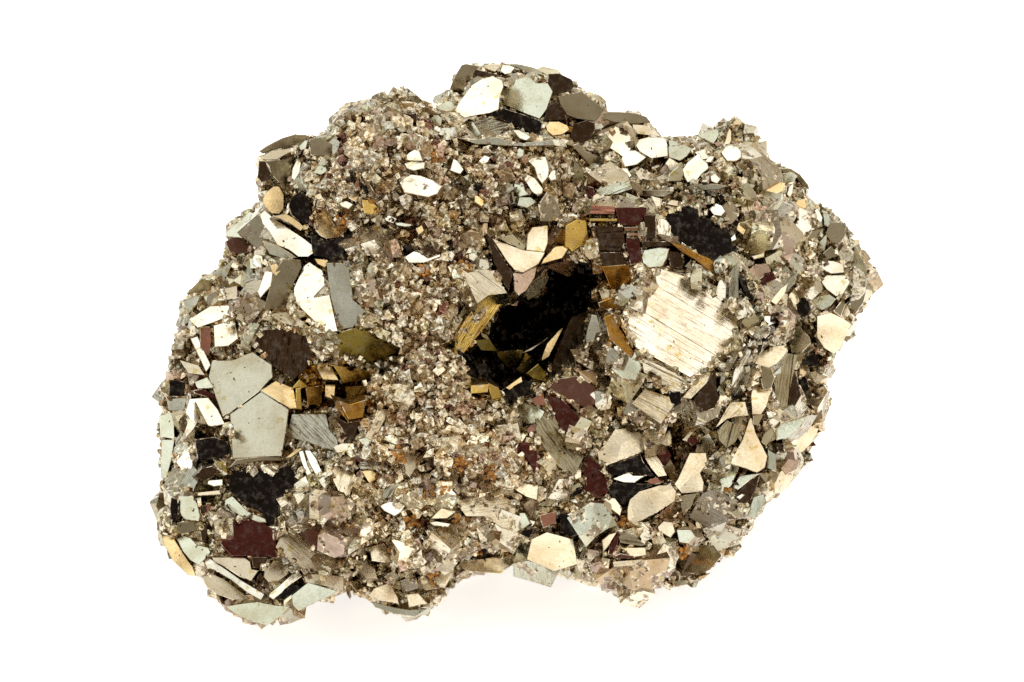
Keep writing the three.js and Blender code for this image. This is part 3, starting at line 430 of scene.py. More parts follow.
# Bottom centre.
BOTTOM_CENTRE = """
white 0.6 plain -14.9,-8.8 -14.2,-8.5 -13.2,-8.5 -13.1,-9 -14.6,-9.3
pale 0.6 plain -12.9,-8.2 -12.2,-8 -11.7,-8.3 -12.2,-8.9
white 0.8 5 -13,-10 -12.6,-10.7 -10.4,-10.8 -10.3,-10.2 -12.2,-9.9
honey 0.7 plain -12.6,-10.8 -11.9,-11.9 -11,-11.4 -11.6,-10.7
cream 0.9 70 -15,-10.8 -14.6,-10.5 -13.2,-11 -12.8,-11.6 -13.4,-12.6 -13.9,-13.4 -14.4,-12.6 -14.9,-11.6
salmon 0.5 plain -11.4,-11.2 -10.9,-11 -10.7,-11.5 -11.3,-11.5
grey 0.6 50 -10.9,-13.2 -10.6,-12.4 -9.8,-11.9 -9.5,-12.2 -10.1,-13
white 0.5 plain -9.8,-12.9 -9.1,-12.6 -9,-13.2 -9.7,-13.2
white 0.7 plain -11.1,-13.7 -10.3,-13.4 -9.5,-13.3 -8.9,-13.7 -9.2,-14.2 -9.8,-14.6 -10.6,-14.2
cream 0.6 plain -9.1,-9.3 -8.4,-9.4 -7.4,-9.2 -7.9,-10.4 -8.5,-11.4 -8.9,-10.9
cream 0.5 plain -7.6,-10.3 -6.9,-10 -6.6,-10.7 -7.2,-10.9
cream 0.5 plain -9.9,-10.6 -9.2,-10.5 -9,-11.5 -9.7,-12
cream 0.7 -60 -5.3,-11.1 -4.8,-10.8 -3.8,-12.1 -4.5,-12.8 -5,-12.2
black 0.2 plain -4.5,-11.2 -3.9,-12.2 -4.2,-12.8 -4.6,-12.4
cream 1 10 -4.1,-13.2 -2.6,-12.9 -0.4,-13.1 0.3,-13.8 0.1,-15.7 -0.9,-15.5 -2.3,-14.6 -3.8,-14.6 -4.3,-14
cream 0.7 plain -3.2,-11.9 -2.2,-11.5 -1.1,-12.4 -2.2,-12.7
cream 0.7 plain 0.2,-12.4 1,-11.8 2.2,-12 2.1,-13.3 1.2,-13
cream 0.6 plain -6.8,-14.8 -5.9,-13.9 -4.6,-14.2 -5.4,-14.8
white 0.6 plain -6.9,-15.1 -6.3,-15 -5.1,-15.2 -5.3,-15.5 -6.5,-15.4
pale 0.7 plain 0.6,-14.3 1.1,-14.3 1.5,-15.2 0.7,-15.8 0.6,-15
black 0.2 plain 0.6,-16.1 0.9,-15.7 1.9,-15.7 1.4,-16.5
salmon 0.6 plain 2.3,-14.5 3.7,-14.2 3.7,-15.2 2.6,-15.6 2.4,-15
cream 0.6 plain -4.4,-18.3 -1,-18 0.4,-17.6 0.2,-18.5 -1,-19.4 -3.7,-19.2 -4.2,-18.9
cream 0.8 plain -11.9,-17.2 -10.7,-16.8 -9.9,-17.8 -9.2,-18.3 -10.2,-18.5 -11.7,-18.3
white 0.8 plain -13.2,-18.2 -12.4,-18.3 -11.4,-19 -11.2,-19.8 -12.2,-19.7 -13,-19
white 0.6 plain -12.9,-16.9 -13.1,-17.8 -12.1,-18 -12.4,-17.1
white 0.7 plain -7.8,-19.6 -6.6,-19.9 -6.2,-20.6 -7.2,-20.8 -8.1,-20.4
cream 0.6 plain -6.6,-19.5 -5.3,-19 -4.9,-19.4 -5.6,-20.6 -6.3,-20.3
cream 0.6 plain -12,-21.2 -11.5,-20.6 -10.2,-20.1 -9.9,-20.6 -9.5,-21.4 -9.4,-21.9 -11.1,-21.6
cream 0.6 plain -8.8,-21.1 -7.8,-21 -7,-21.9 -8.6,-22.2
olive 0.5 plain -13.6,-20 -12.6,-20 -12.4,-20.6 -13,-20.9
grey 0.3 plain -11.8,-21.7 -9.8,-22.2 -8.5,-22.4 -7,-22.3 -8.1,-23 -9.8,-22.7 -11.4,-22.2
black 0.1 plain -2.6,-17.2 -2.1,-17.3 -2.2,-18.7 -2.5,-17.9
maroon 0.5 plain 0.5,-8.2 1.3,-8.3 2.1,-9.2 2.1,-10.1 1.9,-11.1 1.5,-10.2 0.6,-8.8
"""
# Lower left, with the two dull dark faces and the crossed white blades.
LOWER_LEFT = """
black 0.9 plain -23.5,-11.2 -22.9,-10.8 -22.2,-10.9 -20.8,-10.5 -20.2,-10.9 -18.8,-10.4 -18.2,-10.7
  -17.8,-11.4 -18,-12 -19.3,-13 -19.6,-15.9 -20,-15.8 -20.9,-14.4 -22,-13.8 -23,-13 -23.6,-12.4
taupe 0.8 plain -23.6,-10.6 -22.8,-10.3 -21,-10 -18.4,-10 -19,-9.4 -21,-9.6 -23,-9.9
honey 0.7 plain -19,-9.8 -18,-9 -17.4,-8.8 -17.5,-9.1 -18.4,-9.7
pale 0.8 plain -23.9,-13.2 -23.3,-12.9 -22,-14.2 -20.6,-14.8 -20.5,-15.1 -21.2,-15.1 -22.8,-14.5 -24,-13.8
maroon 0.9 plain -23.9,-15.2 -23,-14.9 -20.7,-15 -19.8,-16.2 -19.6,-16.9 -19.8,-18 -21.8,-17.9 -23.4,-17.9
  -24.4,-16.8 -24,-16.2
umber 0.7 plain -21.7,-18 -20.4,-18 -20.2,-18.4 -20.9,-19 -21.6,-18.9
cream 1 plain -25,-18 -24,-18 -22.4,-17.95 -21.8,-18.4 -21.7,-19 -21.1,-19.1 -21.7,-20 -22.6,-19.7
  -23.8,-18.9 -24.8,-18.3
cream 1 plain -20.6,-19 -19.7,-18.1 -18.3,-18.9 -18.6,-19.4 -19.4,-20 -20.3,-20.1 -20.7,-19.6
umber 0.4 plain -21.2,-19.6 -20.9,-19.3 -20.7,-19.8 -20.9,-20.1 -21.3,-20
cream 1.1 -40 -19.7,-17.2 -19.3,-16.4 -18.6,-16.1 -17.9,-15.9 -17.4,-16.6 -16.2,-17.9 -15.4,-18.7
  -16.2,-19.2 -17.4,-19 -19,-18
cream 0.8 plain -16.2,-17.9 -14,-17.9 -13.9,-18.9 -15.2,-19.2 -15.6,-18.6
dusk 0.9 plain -17.9,-15.8 -17.4,-15.2 -17.3,-14.8 -15.5,-15.6 -15.9,-17 -16.3,-17.6 -17,-16.9
white 1.7 plain -25.7,-18.2 -25.3,-18 -24,-18.9 -22.6,-19.9 -20.6,-21.1 -20.9,-21.6 -22,-21 -23.4,-19.9
  -24.8,-19.1 -25.5,-18.8
white 1.7 plain -20.2,-21 -19.3,-20.3 -17.9,-19 -17.5,-19.6 -18.2,-20.1 -19,-20.8 -19.9,-21.5 -20.3,-21.3
black 1.5 plain -20,-21.5 -19.3,-20.9 -18.3,-20.2 -17.6,-20.5 -18.2,-21 -19,-21.6
cream 0.9 plain -25.9,-19.6 -25,-19.4 -24,-19.8 -22.6,-20.9 -21.8,-21.5 -23.2,-21.6 -24.6,-21.1 -25.4,-20.6
umber 0.3 plain -24.6,-21.1 -24.3,-21.4 -23.9,-22 -24.2,-21.9
pale 1 plain -23.9,-22.1 -22.8,-21.9 -21.2,-21.7 -19.8,-22 -18.6,-22.1 -19,-22.6 -19.6,-23.2 -20.4,-23.7
  -21.6,-23.4 -22.8,-22.9
pale 1 plain -18.4,-21.2 -17.4,-20.4 -17,-20.1 -14.6,-20.8 -15,-21.2 -16.4,-21.8 -17.8,-22.5 -18.3,-22
cream 0.9 plain -17.4,-19.6 -16.6,-19.4 -14,-19.6 -14,-20.9 -15.4,-20.5 -17.2,-20.1
white 1.1 plain -17.3,-9.1 -16.8,-9.1 -16.3,-9.8 -15.8,-10.9 -16.4,-11.1 -16.9,-10.2
white 0.9 plain -16.3,-11.2 -15.7,-11 -15.4,-12 -15.5,-12.5 -16,-11.9
white 1 plain -17.8,-9.2 -17.4,-9.1 -17,-10.4 -16.6,-11.2 -16.8,-11.8 -17.2,-11 -17.6,-10
pale 0.8 plain -27.8,-12.9 -26.6,-12.9 -26.2,-13.6 -26,-14.6 -26.1,-15 -27.4,-14.9 -27.8,-14
taupe 0.3 plain -29.4,-12.6 -28.4,-12.7 -28.4,-14.6 -29.2,-14.9 -29.7,-13.8
black 0.2 plain -28.4,-13 -27.9,-13.2 -27.8,-14.2 -28,-15.3 -28.3,-15.4 -28.5,-14
umber 0.2 plain -26,-13.7 -25.5,-13.7 -25.4,-14.3 -26,-14.4
salmon 0.2 plain -25.5,-13.5 -25.1,-13.5 -25.2,-14.8 -25.6,-14.9
taupe 0.5 plain -27.9,-15.1 -26.1,-15 -26.1,-15.8 -27.5,-16.1 -28,-15.9
umber 0.3 plain -26,-15.7 -25.5,-15.3 -25.3,-15.8 -25.5,-16.8 -25.9,-16.6
pale 0.8 plain -28,-16.5 -27.4,-16.2 -26.8,-16.4 -26.2,-17 -25.3,-17.2 -25.1,-17.6 -25.6,-18.2 -26.1,-18.7
  -26.8,-18.3 -27.4,-17.6
honey 0.5 plain -29.3,-16 -28.2,-16.4 -27.5,-17.6 -26.6,-18.8 -26.3,-19.6 -27,-19.5 -28.2,-18.4 -28.9,-17.2
umber 0.3 plain -26.5,-11.3 -25.8,-10.6 -25,-10.4 -24.6,-10.8 -24.8,-11.3 -25.4,-11.6
white 0.6 plain -25.3,-11.6 -24.1,-11.5 -24.1,-12 -24.9,-12.1 -25.4,-11.9
cream 0.4 plain -26.2,-12.6 -24.4,-12.4 -24.2,-12.8 -26.2,-12.9
moss 0.2 plain -24.8,-9.9 -24.2,-10.1 -24.1,-10.8 -24.4,-10.6
"""
# Upper left, the shoulder and the granular lobe.
UPPER_LEFT = """
taupe 0.6 plain -21.1,15.8 -20.4,16.3 -19.2,16.9 -18.2,17.2 -17.2,17.2 -16.7,17 -17.8,16.2 -18.4,16.1
  -19.8,16 -20.8,15.6
cream 0.7 plain -20.9,15.4 -20,15.9 -18.2,16.1 -18.3,15.8 -19.1,15.4 -19.6,15.1 -20.8,15.1
taupe 0.7 plain -20.7,15 -19.2,15.1 -18.4,15.3 -18.3,14.6 -18.5,13.6 -19.2,13 -20,13.8 -20.2,14.6
umber 0.4 plain -21.1,15 -20.6,15 -20.1,14 -20.2,13.4 -20.9,13.2 -21.2,13.6
honey 0.6 plain -20.8,11.8 -20.5,12.4 -19.9,12.9 -19.4,12.9 -19,12.2 -19,11 -19.4,10.6 -20,10.6 -20.6,11.2
white 0.6 plain -18.4,13.6 -18.3,14.4 -17.9,15.2 -17.7,15.8 -17.5,15.9 -17.5,15.2 -17.7,14 -18.1,13.4
pale 0.5 plain -17.8,16.2 -17.2,16.8 -17,16.6 -17.2,16 -17.6,15.9
taupe 0.6 plain -16.9,16.8 -16,17 -15,16.4 -15.1,15.6 -16,15.4 -16.8,15.6
grey 0.5 plain -15.3,16.6 -14.8,17 -14.3,16.6 -14.6,15.6 -15,15.4
pale 0.5 plain -16.6,14 -16.2,14.6 -15.6,14.8 -15.4,14.2 -15.9,13.9
black 0.2 plain -18.6,11.2 -18.4,11.9 -17.9,12.3 -17.2,12.2 -16.9,11.8 -16.7,10 -17.2,9.7 -17.8,10
  -18.4,10.5
white 0.5 plain -17.8,10.9 -17.5,11.1 -17.3,10.6 -17.6,10.4
honey 0.9 plain -16.5,9.9 -16.3,10.6 -15.7,10.9 -15.1,10.3 -14.7,9.6 -14.2,9.1 -14.5,8.6 -15.4,8.5 -16,8.8
  -16.5,9.4
white 1.2 plain -21,10.6 -20.6,10.9 -19.8,10.2 -18.6,9.4 -17.4,8.6 -16.5,7.9 -16.4,7.4 -17,7 -17.8,7
  -18.6,7.6 -19.6,8 -20.2,9.1 -20.8,9.8
honey 0.7 plain -20,10.4 -19.2,10.2 -18.2,9.6 -17.6,9.2 -17.2,9.4 -18,10.2 -18.8,10.6
pale 0.8 plain -23.8,9.1 -23.3,9.6 -22.6,10.1 -21.9,10.8 -21.4,10.6 -21.1,9.6 -20.7,8.8 -20.9,8.5 -22,8.5
  -23.7,8.7
dusk 0.5 plain -23.9,8.3 -23.2,8.7 -22.4,8.5 -21.8,8 -22,7.4 -22.8,7.2 -23.6,7.5
white 0.4 plain -21.6,7 -21.4,7.3 -20.8,7.1 -20.7,6.4 -21.2,6.1 -21.6,6.4
grey 0.5 plain -20.8,8.3 -19.6,8 -18.6,7.4 -17.8,6.9 -19.2,6.9 -20.2,7.2
honey 0.3 plain -20.2,6.3 -19.6,6.5 -19.2,5.9 -19.6,5.4 -20,5.7
black 0.1 plain -16.8,9 -15.6,8.4 -14.4,8.6 -13.9,9 -13.1,9 -13,8.4 -14,7.8 -14,7 -12.6,6.7 -15,6.8
  -16.6,7.1
moss 0.2 plain -15.6,8 -15.3,8.4 -15,8 -15.2,7.5 -15.6,7.6
white 0.7 plain -9.4,13.2 -9,13.6 -8.4,13.9 -7.6,13.8 -6.6,13.4 -5.8,12.9 -6.2,12.3 -7,12 -8,12.2 -9,12.4
white 0.6 plain -9,15.3 -8.6,15.7 -8.1,16 -7.7,15.8 -7.4,15 -8.2,15 -8.9,15.1
white 0.5 plain -9,14.8 -8.4,15 -7.2,14.9 -7.3,14.4 -8.2,14.2 -8.8,14.4
salmon 0.4 plain -13,13.5 -12.8,13.6 -12.6,12.6 -13,12.5 -13.2,12.8
black 0.1 plain -13.4,14.2 -13.1,14.1 -13.2,12.9 -13.5,13.1
black 0.1 plain -12.6,13.2 -12.1,13 -12,12.3 -12.5,12.5
umber 0.2 plain -13,14.9 -12,14.6 -12,14 -12.8,13.9
mauve 0.3 plain -12,13.2 -11.4,13.2 -10.9,12.4 -10.8,11.8 -11.4,12.2
white 0.4 plain -14.4,11.5 -13.8,11.7 -13.2,11.4 -13.6,11 -14.2,11.2
honey 0.4 plain -13.7,12.4 -13.3,12.3 -12.8,12 -13,11.6 -13.6,11.9
gold 0.4 plain -12.5,11.7 -12,11.8 -11.4,11.4 -11,11 -11.6,10.5 -12.3,10.6
white 0.4 plain -10.8,10.4 -10.2,10.5 -9.6,10.2 -9.9,9.8 -10.5,10
pale 0.3 plain -9.8,9.9 -9.2,9.9 -8.2,9.7 -8.8,9.5 -9.6,9.6
honey 0.3 plain -8,9.4 -7.5,9.7 -7.3,9.2 -7.8,8.8
mauve 0.3 plain -7.3,10 -6.8,10 -6.4,9.6 -7,9.4
black 0.1 plain -9,8 -8.4,8 -8,7.5 -8.8,7.4
umber 0.2 plain -7.6,7.2 -7,7.9 -6.2,7.6 -6,7.4 -7.2,7
white 0.4 plain -9,7 -8.2,7.5 -7.7,7.4 -7,6.9 -5.9,7.3 -6,7 -7.4,6.5 -8.6,6.5
pale 0.4 plain -6.8,18.6 -6.2,18.9 -5.8,18.6 -5.9,17.9 -6.6,18
grey 0.3 plain -8.4,20.5 -7.9,20.5 -7.4,20 -7.3,19.8 -8.2,19.8 -8.6,20.2
umber 0.2 plain -8.6,18.9 -8,19 -7.9,18.2 -8.3,18.2
grey 0.3 plain -7.8,19.5 -7,19.5 -6.4,19.1 -5.4,19 -6.6,18.8 -7.5,19
"""
# The far crystals that show over the top. The umber row from 3,19.6 is a painted shadow: a dark face laid
# where the stone only lies in shade.
FAR_CRYSTALS = """
pale 0.6 plain -6.4,19.4 -5.6,20 -5,20 -4.8,19.6 -4.8,19.2 -5.4,19.1 -6.2,19.3
taupe 0.6 plain -5.2,21 -4.8,22 -4.2,23 -3.8,23.1 -2.8,22.9 -3.2,22.2 -3.8,21.6 -4.3,20.7
umber 0.4 plain -3.4,22.8 -2.4,22.5 -1.2,22.2 -0.7,21.9 -1.8,22.1 -2.8,21.9 -3.4,21.8
cream 0.5 plain -2.4,22.9 -2,23.1 -1.1,23.1 -1,22.8 -1.4,22.4 -2,22.6
white 0.5 plain -1,22.5 -0.8,23 -0.2,23 0.3,22.8 -0.1,22.3 -0.6,22.2
grey 0.5 plain -0.6,23.1 0.4,23.1 1.8,22.8 2.8,22.3 3,22.1 1.4,22.3 0.4,22.8
white 0.9 plain -4.8,19.2 -4.4,19.9 -3.4,21.3 -2.6,21.8 -1.6,22.1 -0.8,21.7 -0.7,21.2 -1,20.4 -1.1,19.3
  -1.8,19 -3,18.8 -4,18.6
pale 0.9 plain -0.9,20.4 -0.8,21 0.1,21.3 0.3,21.8 1,22 1.6,21.9 2,21.5 3,21.5 3.4,20.8 3.2,20.2 2.9,19.3
  2.3,18.5 1.2,18.9 -0.7,19.7
umber 0.6 plain 3,22.3 3.9,22.3 5,21.8 5.2,21.2 4.8,20.8 4,20.6 3.4,20.4 3,21.4
taupe 0.8 plain 3.8,20.4 4.8,20.6 5.8,20.8 6.8,20 7.8,19.3 7.2,18.6 7,18.3 5.4,18.5 4.6,18.8 4,19.7
umber 0.3 plain 3,19.6 3.8,20 4.4,19 4.6,18.4 3.2,18.4 2.6,18.3
honey 0.4 plain 2.8,17.9 3.1,18.3 3.9,18.3 4.6,18 4.8,17.6 4.2,17.2 3.4,17.1 2.9,17.5
amber 0.5 plain 4.6,17.9 5.1,17.8 5,17.4 4.5,17.4
umber 0.3 plain 5,18 6.2,18.4 6.9,18.2 6.9,17.5 6.6,16.8 5.8,16.4 4.8,16.9
taupe 0.6 plain 7.4,18.6 8,19.1 9,19.1 10.2,19 11.2,18.7 11.6,18.2 10.4,18.1 8.6,18.2
cream 0.7 plain 10,18.1 11.2,18 12,17.5 12.5,17 10.8,17.2 10.1,17.3
white 0.8 plain 7.9,16.2 8,17.2 8.6,17.9 9.3,17.6 9.9,17 9.9,16 9.4,15.2 8.6,15.8
white 0.6 plain 9.1,15.2 9.4,15.9 10.3,15.9 11.2,15.3 10.4,14.7 9.4,14.5
white 0.8 plain 10.3,16.3 10.6,16.8 11.4,17 12.8,16.9 13,16.3 13,15.4 11.6,15.2 10.6,15.8
pale 0.5 plain 13,16.8 13.8,16.6 14,16.3 13.1,16.1
pale 0.6 plain 13,16.2 14.4,16.4 15,16 14.6,15.4 14,15 13,15.3
black 0.3 plain -2.1,18.9 -1,19.2 -0.7,19.4 1.2,18.8 2.2,18.4 2.5,18.2 2.3,17.4 1.8,17.2 1.1,17.6 0,18.1
  -1,18.5
pale 0.6 plain -4,18.4 -3.2,18.3 -2.9,17.8 -2.4,17 -3.2,16.9 -3.7,17.7
grey 0.6 12 -3.2,18.4 -2.4,18.7 -1,18.3 0,18 -1,17.3 -2.2,17 -2.8,17.6
white 0.5 plain 0,17.6 0.6,17.6 1.6,17 1.2,16.7 0.6,16.9
grey 0.3 plain -4.8,17 -3,16.8 -1.2,17 0.8,16.5 3.4,16.8 3.6,16.3 1,16.2 -3,16.4
taupe 0.5 plain 5,16.3 5.6,16.5 6,15.9 7.2,15.4 8,14.9 6.4,14.7 6,15.2
"""
# Below the far crystals, from the granular saddle to the right-hand ridge.
UPPER_BAND = """
white 0.9 plain 1.3,15 1.7,15.3 2.8,15.4 3,14.8 3.1,14.3 3,13.7 2.5,13.1 2.1,13.6 1.9,14.4
white 0.5 plain 3.3,14.2 3.6,14.3 3.7,13.5 3.2,13.4 3,13.7
white 0.8 plain 1,13.5 1.3,13.9 1.9,13.6 2.6,12.7 2.5,12.3 2.1,12.1 1.6,12.5
pale 0.6 plain 0.1,12.6 0.2,13.3 0.9,13.2 1.1,12.6 1.4,12.2 0.6,12
pale 0.5 plain 0.6,12 1.6,12 2,11.6 1.2,11.1 0.4,11.3
taupe 0.7 plain 2.2,11.4 2.9,12.4 3.5,12 4,11 3.9,10 2.4,10
white 0.5 plain 6.2,14.1 7,14.2 7.6,13.6 7.6,13 7,13.1 6.5,13.7
white 0.5 plain 8.7,14.5 9.6,14.4 10,13.8 9.4,13.2 8.8,13.4 8.9,14
pale 0.5 15 7,12.6 8.4,13.1 9.8,13.4 10,12.7 8.8,12.3 7.4,12.1
maroon 0.2 plain 6.3,12.9 6.8,12.8 6.9,12 6.3,12
taupe 0.4 plain 5,13.6 5.2,15.4 5.6,15 6,14.2 6,13 5.6,12.4 5.1,12.9
honey 0.4 plain -3.1,12.2 -2.8,12.1 -2.2,11.6 -2.5,11.2 -3.1,11.6
black 0.1 plain -3.4,13 -3,13.2 -2.4,12.7 -2.7,12.4 -3.2,12.6
white 0.4 plain -2.8,15 -2.3,15.5 -1.8,15.3 -2,14.9 -2.5,14.7
white 0.5 plain -5.2,14.2 -4.9,15.2 -4.5,15 -4,14.3 -4.3,13.9
pale 0.4 plain 0.3,15.8 0.6,16.1 1,15.9 0.9,15.2 0.4,15.2
grey 0.7 plain 10.4,12.6 11.7,12.6 13.2,12.6 13.4,12.3 12.6,12 10.6,12.1
grey 0.6 plain 14.5,12.9 15.2,13.1 17,13.1 18,12.9 17.2,12.6 15,12.5
olive 0.5 plain 13.1,13.9 13.9,14.6 14.2,14.4 14.3,13.8 14.1,13.3 13,13.3
white 0.9 plain 14.2,14.3 14.6,14.9 15.6,15.7 15.8,15.2 16.3,14.8 16.4,14.4 15.8,13.9 15.5,13.5 14.6,13.2
  14.3,13.8
white 0.5 plain 16,14.9 16.4,15.4 16.9,15.4 16.6,14.9
white 0.5 plain 16.5,13.7 16.9,14 17.4,13.5 17.1,13.1 16.6,13.3
pale 0.6 plain 15.4,17.1 16.2,17.5 17.1,17.7 17.3,17.2 16.8,16.4 16,16.8
cream 0.6 plain 17.6,16.1 17.9,17.2 18.1,17.8 18.3,17.5 18.3,16.7 18.1,16.3
white 0.8 plain 17.4,15.7 17.7,16.1 18.2,16.3 18.8,16.2 19.1,15.8 19.1,15.3 18.6,15 17.9,15
cream 0.4 plain 18.4,18.2 18.7,18.5 19.1,18.3 19,18 18.5,18
black 1 plain 12.6,10.4 13,10.8 13.8,10.6 14,11.2 14.7,11.3 15.5,11 15.6,10.4 16.7,10.1 17.6,9.7 18,9.5
  18.4,8 18.8,7.8 18.5,7.4 17.4,6.8 16.2,7 15.4,7.3 14.6,7.9 13.2,8.6 13,9.6
cream 0.4 plain 12.8,11.4 13.3,11.8 13.9,11.7 13.8,11.2
black 0.1 plain 15.9,12.2 16.2,12.5 16.7,12.2 16.3,11.8
black 0.1 plain 17.1,12.1 17.4,12.3 17.7,12 17.4,11.6
white 0.5 plain 16.4,11 17,11.5 17.5,11.3 17.8,10.8 17.4,10.4 16.8,10.5
honey 0.3 plain 18.7,9.3 19,10 19.6,9.4 19.3,8.8
white 0.5 plain 18.2,8.6 18.6,9 18.7,8.5 18.3,8.3
"""
# The ridge on the far right.
RIDGE = """
grey 0.4 plain 22,14.4 23.2,14.4 24,13.9 24.7,13 24.8,12.6 24.2,12.9 23.6,13.8 22.6,14.1
pale 0.5 plain 22.4,13.9 23.2,14.1 23.8,13.8 23.5,13.3 22.8,13.1 22.3,13.3
white 0.4 plain 22.9,12.2 23.1,12.9 23.5,13.2 23.4,12.4 23.2,11.9
honey 0.4 plain 20.8,13 21.6,13.4 22.8,13.2 22.6,12.5 22,12.2 21.2,12.2 20.9,12.6
honey 0.4 plain 23.4,11.2 23.8,11.8 24.4,11.9 24.6,11.2 24.2,10.8 23.6,10.7
white 0.4 plain 25.2,10.9 25.5,11.1 25.9,10.3 25.8,9.8 25.4,10.1
pale 0.4 plain 25.9,10.7 26.4,10.6 26.6,10 26.4,9.6 26,9.6
taupe 0.5 plain 26.3,9.4 26.6,9.9 27.4,9.9 27.8,9.4 27.8,8.8 27.2,8 26.5,8.3 26.1,9
taupe 0.3 plain 24.6,8.6 25,9.2 25.8,9.4 25.6,8.8 25,8.2
pale 0.4 plain 25.4,7.4 25.6,8.3 26.2,8.9 26.2,8.3 26,7.5
white 0.3 plain 26.8,7.6 27.1,7.8 27.3,7.1 26.8,7.3
"""


def places_in(notes):
    """Reads places written as right,up in millimetres with blanks between them."""
    return [tuple(float(part) for part in place.split(",")) for place in notes.split()]


def faces_in(notes):
    """Reads notes of one face a row: look, proud, slope or plain, corners. An indented row goes on."""
    faces = []
    for row in filter(None, notes.replace("\n  ", " ").splitlines()):
        look, proud, slope, corners = row.split(maxsplit=3)
        faces.append((look, float(proud), None if slope == "plain" else float(slope), places_in(corners)))
    return faces


TOLD_APART = faces_in(
    LEFT_OF_MIDDLE + SMALL_POCKET + LEFT_FLANK + ROUND_THE_LARGE_POCKET + REDDISH_BARS
    + STRIATED_CRYSTAL + RIGHT_FLANK + LOWER_RIGHT + BOTTOM_CENTRE + LOWER_LEFT + UPPER_LEFT
    + FAR_CRYSTALS + UPPER_BAND + RIDGE
)
print(len(TOLD_APART), "faces told apart")

# %% [markdown]
# ## Outline, grain and pockets
#
# Four more things are listed: the rim of the whole lump, the patches where the grain is too fine for
# crystals of their own, the two pockets, and the rust spots. Functions that ask "how far inside this
# outline is that place" serve all of them.

# %% Rim, fine-grained patches, pockets and rust spots
RIM = places_in("""
    -21.2,11.9 -21.4,12.8 -21.1,15.3 -20.5,16.2 -19.6,16.7 -18.1,17.3 -15.9,17.2 -15.3,18.3 -14.8,19.2
    -13.8,19.7 -11,20.5 -9.3,21.3 -7.9,20.7 -6.5,19.6 -5.3,21 -4,23.3 -1,23.3 2,22.9 3.9,22.5 6,21 8,19.4
    11,19 12,17.6 14.3,16.9 17,18.2 18.6,18.9 19.4,18.6 20.8,17.2 21.8,15 24.2,14 25,12 26.6,11.1 27.8,10
    28.8,8.5 29.9,6 30.3,4 29,1.5 26.9,-1.5 26.4,-2.9 26.8,-5.5 25.9,-7 24.9,-9.7 24,-11 22.4,-12.7
    21.3,-13.4 20,-15.8 18.2,-18.2 16,-20 13.8,-20.7 12.3,-20.5 10.5,-21.7 8.2,-21.2 5.9,-20 3.4,-19.5
    0,-18.9 -1.3,-19.7 -4,-19.6 -5.5,-21.5 -7.2,-22.9 -8.3,-23.3 -10.3,-22.8 -12.5,-21.5 -14.2,-21
    -16,-21.7 -17.5,-22.7 -20.5,-23.9 -22.5,-23.2 -24.5,-21.9 -26,-19.8 -28.3,-18.2 -29.5,-15.7
    -29.9,-14.3 -29.5,-12 -29.8,-7 -29,-3 -28.1,0.5 -27.7,3.3 -26,5.3 -24.5,6.3 -23.9,9 -22.2,11.2
""")

FINE_GRAINED = [
    places_in("-17,10.5 -15,17.5 -9,20.5 -4.5,17 -4,9 -8,6.5 -14,7.5"),
    places_in("-4,9.5 -3.5,17 1.5,18 6,14.5 6,10.5 0.5,9.5"),
    places_in("-11,7.5 -4,8 -2.5,2.5 -3,-3.5 1.5,-7 1,-12.5 -4,-16.5 -11,-16.5 -13.5,-12 -11.5,-4 -11,2"),
]

POCKETS = [
    places_in("""
        -4.6,-1.2 -2.4,0.8 -0.4,3.6 1.9,5 3,6.3 5.6,6.9 7.4,6 7,3.6 6.2,1.6 5.6,-0.6 3.4,-2.2 0.8,-3.4
        -1.2,-4.4 -2.6,-3.6 -4,-2.6"""),
    places_in("-17.5,-2 -15.6,-1.5 -12.4,-1.9 -11.5,-2.8 -12.2,-5 -13.3,-8.6 -15.2,-6.2 -17.2,-4.2"),
]

RUST_SPOTS = places_in("""
    -8.3,-15.2 -4.5,-15 -6.7,-19.2 -7,-12.7 -5.7,-12.3 -4.2,-10.1 0,-18 3.7,-16.9 -2.8,-17.3 8.7,-14
    9.3,-15.2 -13.4,-15.8 -9.4,-9.7 -7.3,5.9 -4,6 -6.2,15.4 -11.5,11.2 -14,9.8 -17.3,13.4 -24.9,4.1
    14.3,-17.7 17.8,-12 -1.8,-10.9 -9.9,-17.4
""")
RUST_SPREAD = 0.55


def depth_inside(u, v, outline):
    """How far each place lies inside an outline, in millimetres. Outside it is negative."""
    nearest = np.full(len(u), np.inf)
    inside = np.zeros(len(u), bool)
    for (u0, v0), (u1, v1) in zip(outline, outline[1:] + outline[:1]):
        du, dv = u1 - u0, v1 - v0
        along = np.clip(((u - u0) * du + (v - v0) * dv) / (du * du + dv * dv), 0, 1)
        nearest = np.minimum(nearest, np.hypot(u - u0 - along * du, v - v0 - along * dv))
        if dv:
            inside ^= ((v0 > v) != (v1 > v)) & (u < u0 + (v - v0) / dv * du)
    return np.where(inside, nearest, -nearest)


def deepest_inside(u, v, outlines):
    """How far each place lies inside the outline that holds it best."""
    return np.max([depth_inside(u, v, outline) for outline in outlines], axis=0)


print("rim of", len(RIM), "points,", len(RUST_SPOTS), "rust spots")

# %% [markdown]
# ## The plane of each face
#
# A face needs a plane before it can have corners. Its lean comes from its look. Its distance comes from the
# stone itself: rays through the middle of the outline and part of the way to its corners say where the
# stone begins, and the plane stands a little proud of most of them. Averaging them would sink half of the
# face.

# %% Planes for the faces
SURE_FLATNESS = 0.25 * MM
FLATNESS_SLOPE = 0.1
FLAT_LIFT = 0.12 * MM
PROUD_SHARE = 0.45
LEAN_SPREAD = 0.05
WAY_TO_CORNERS = 0.6
SHARE_BEHIND = 0.6


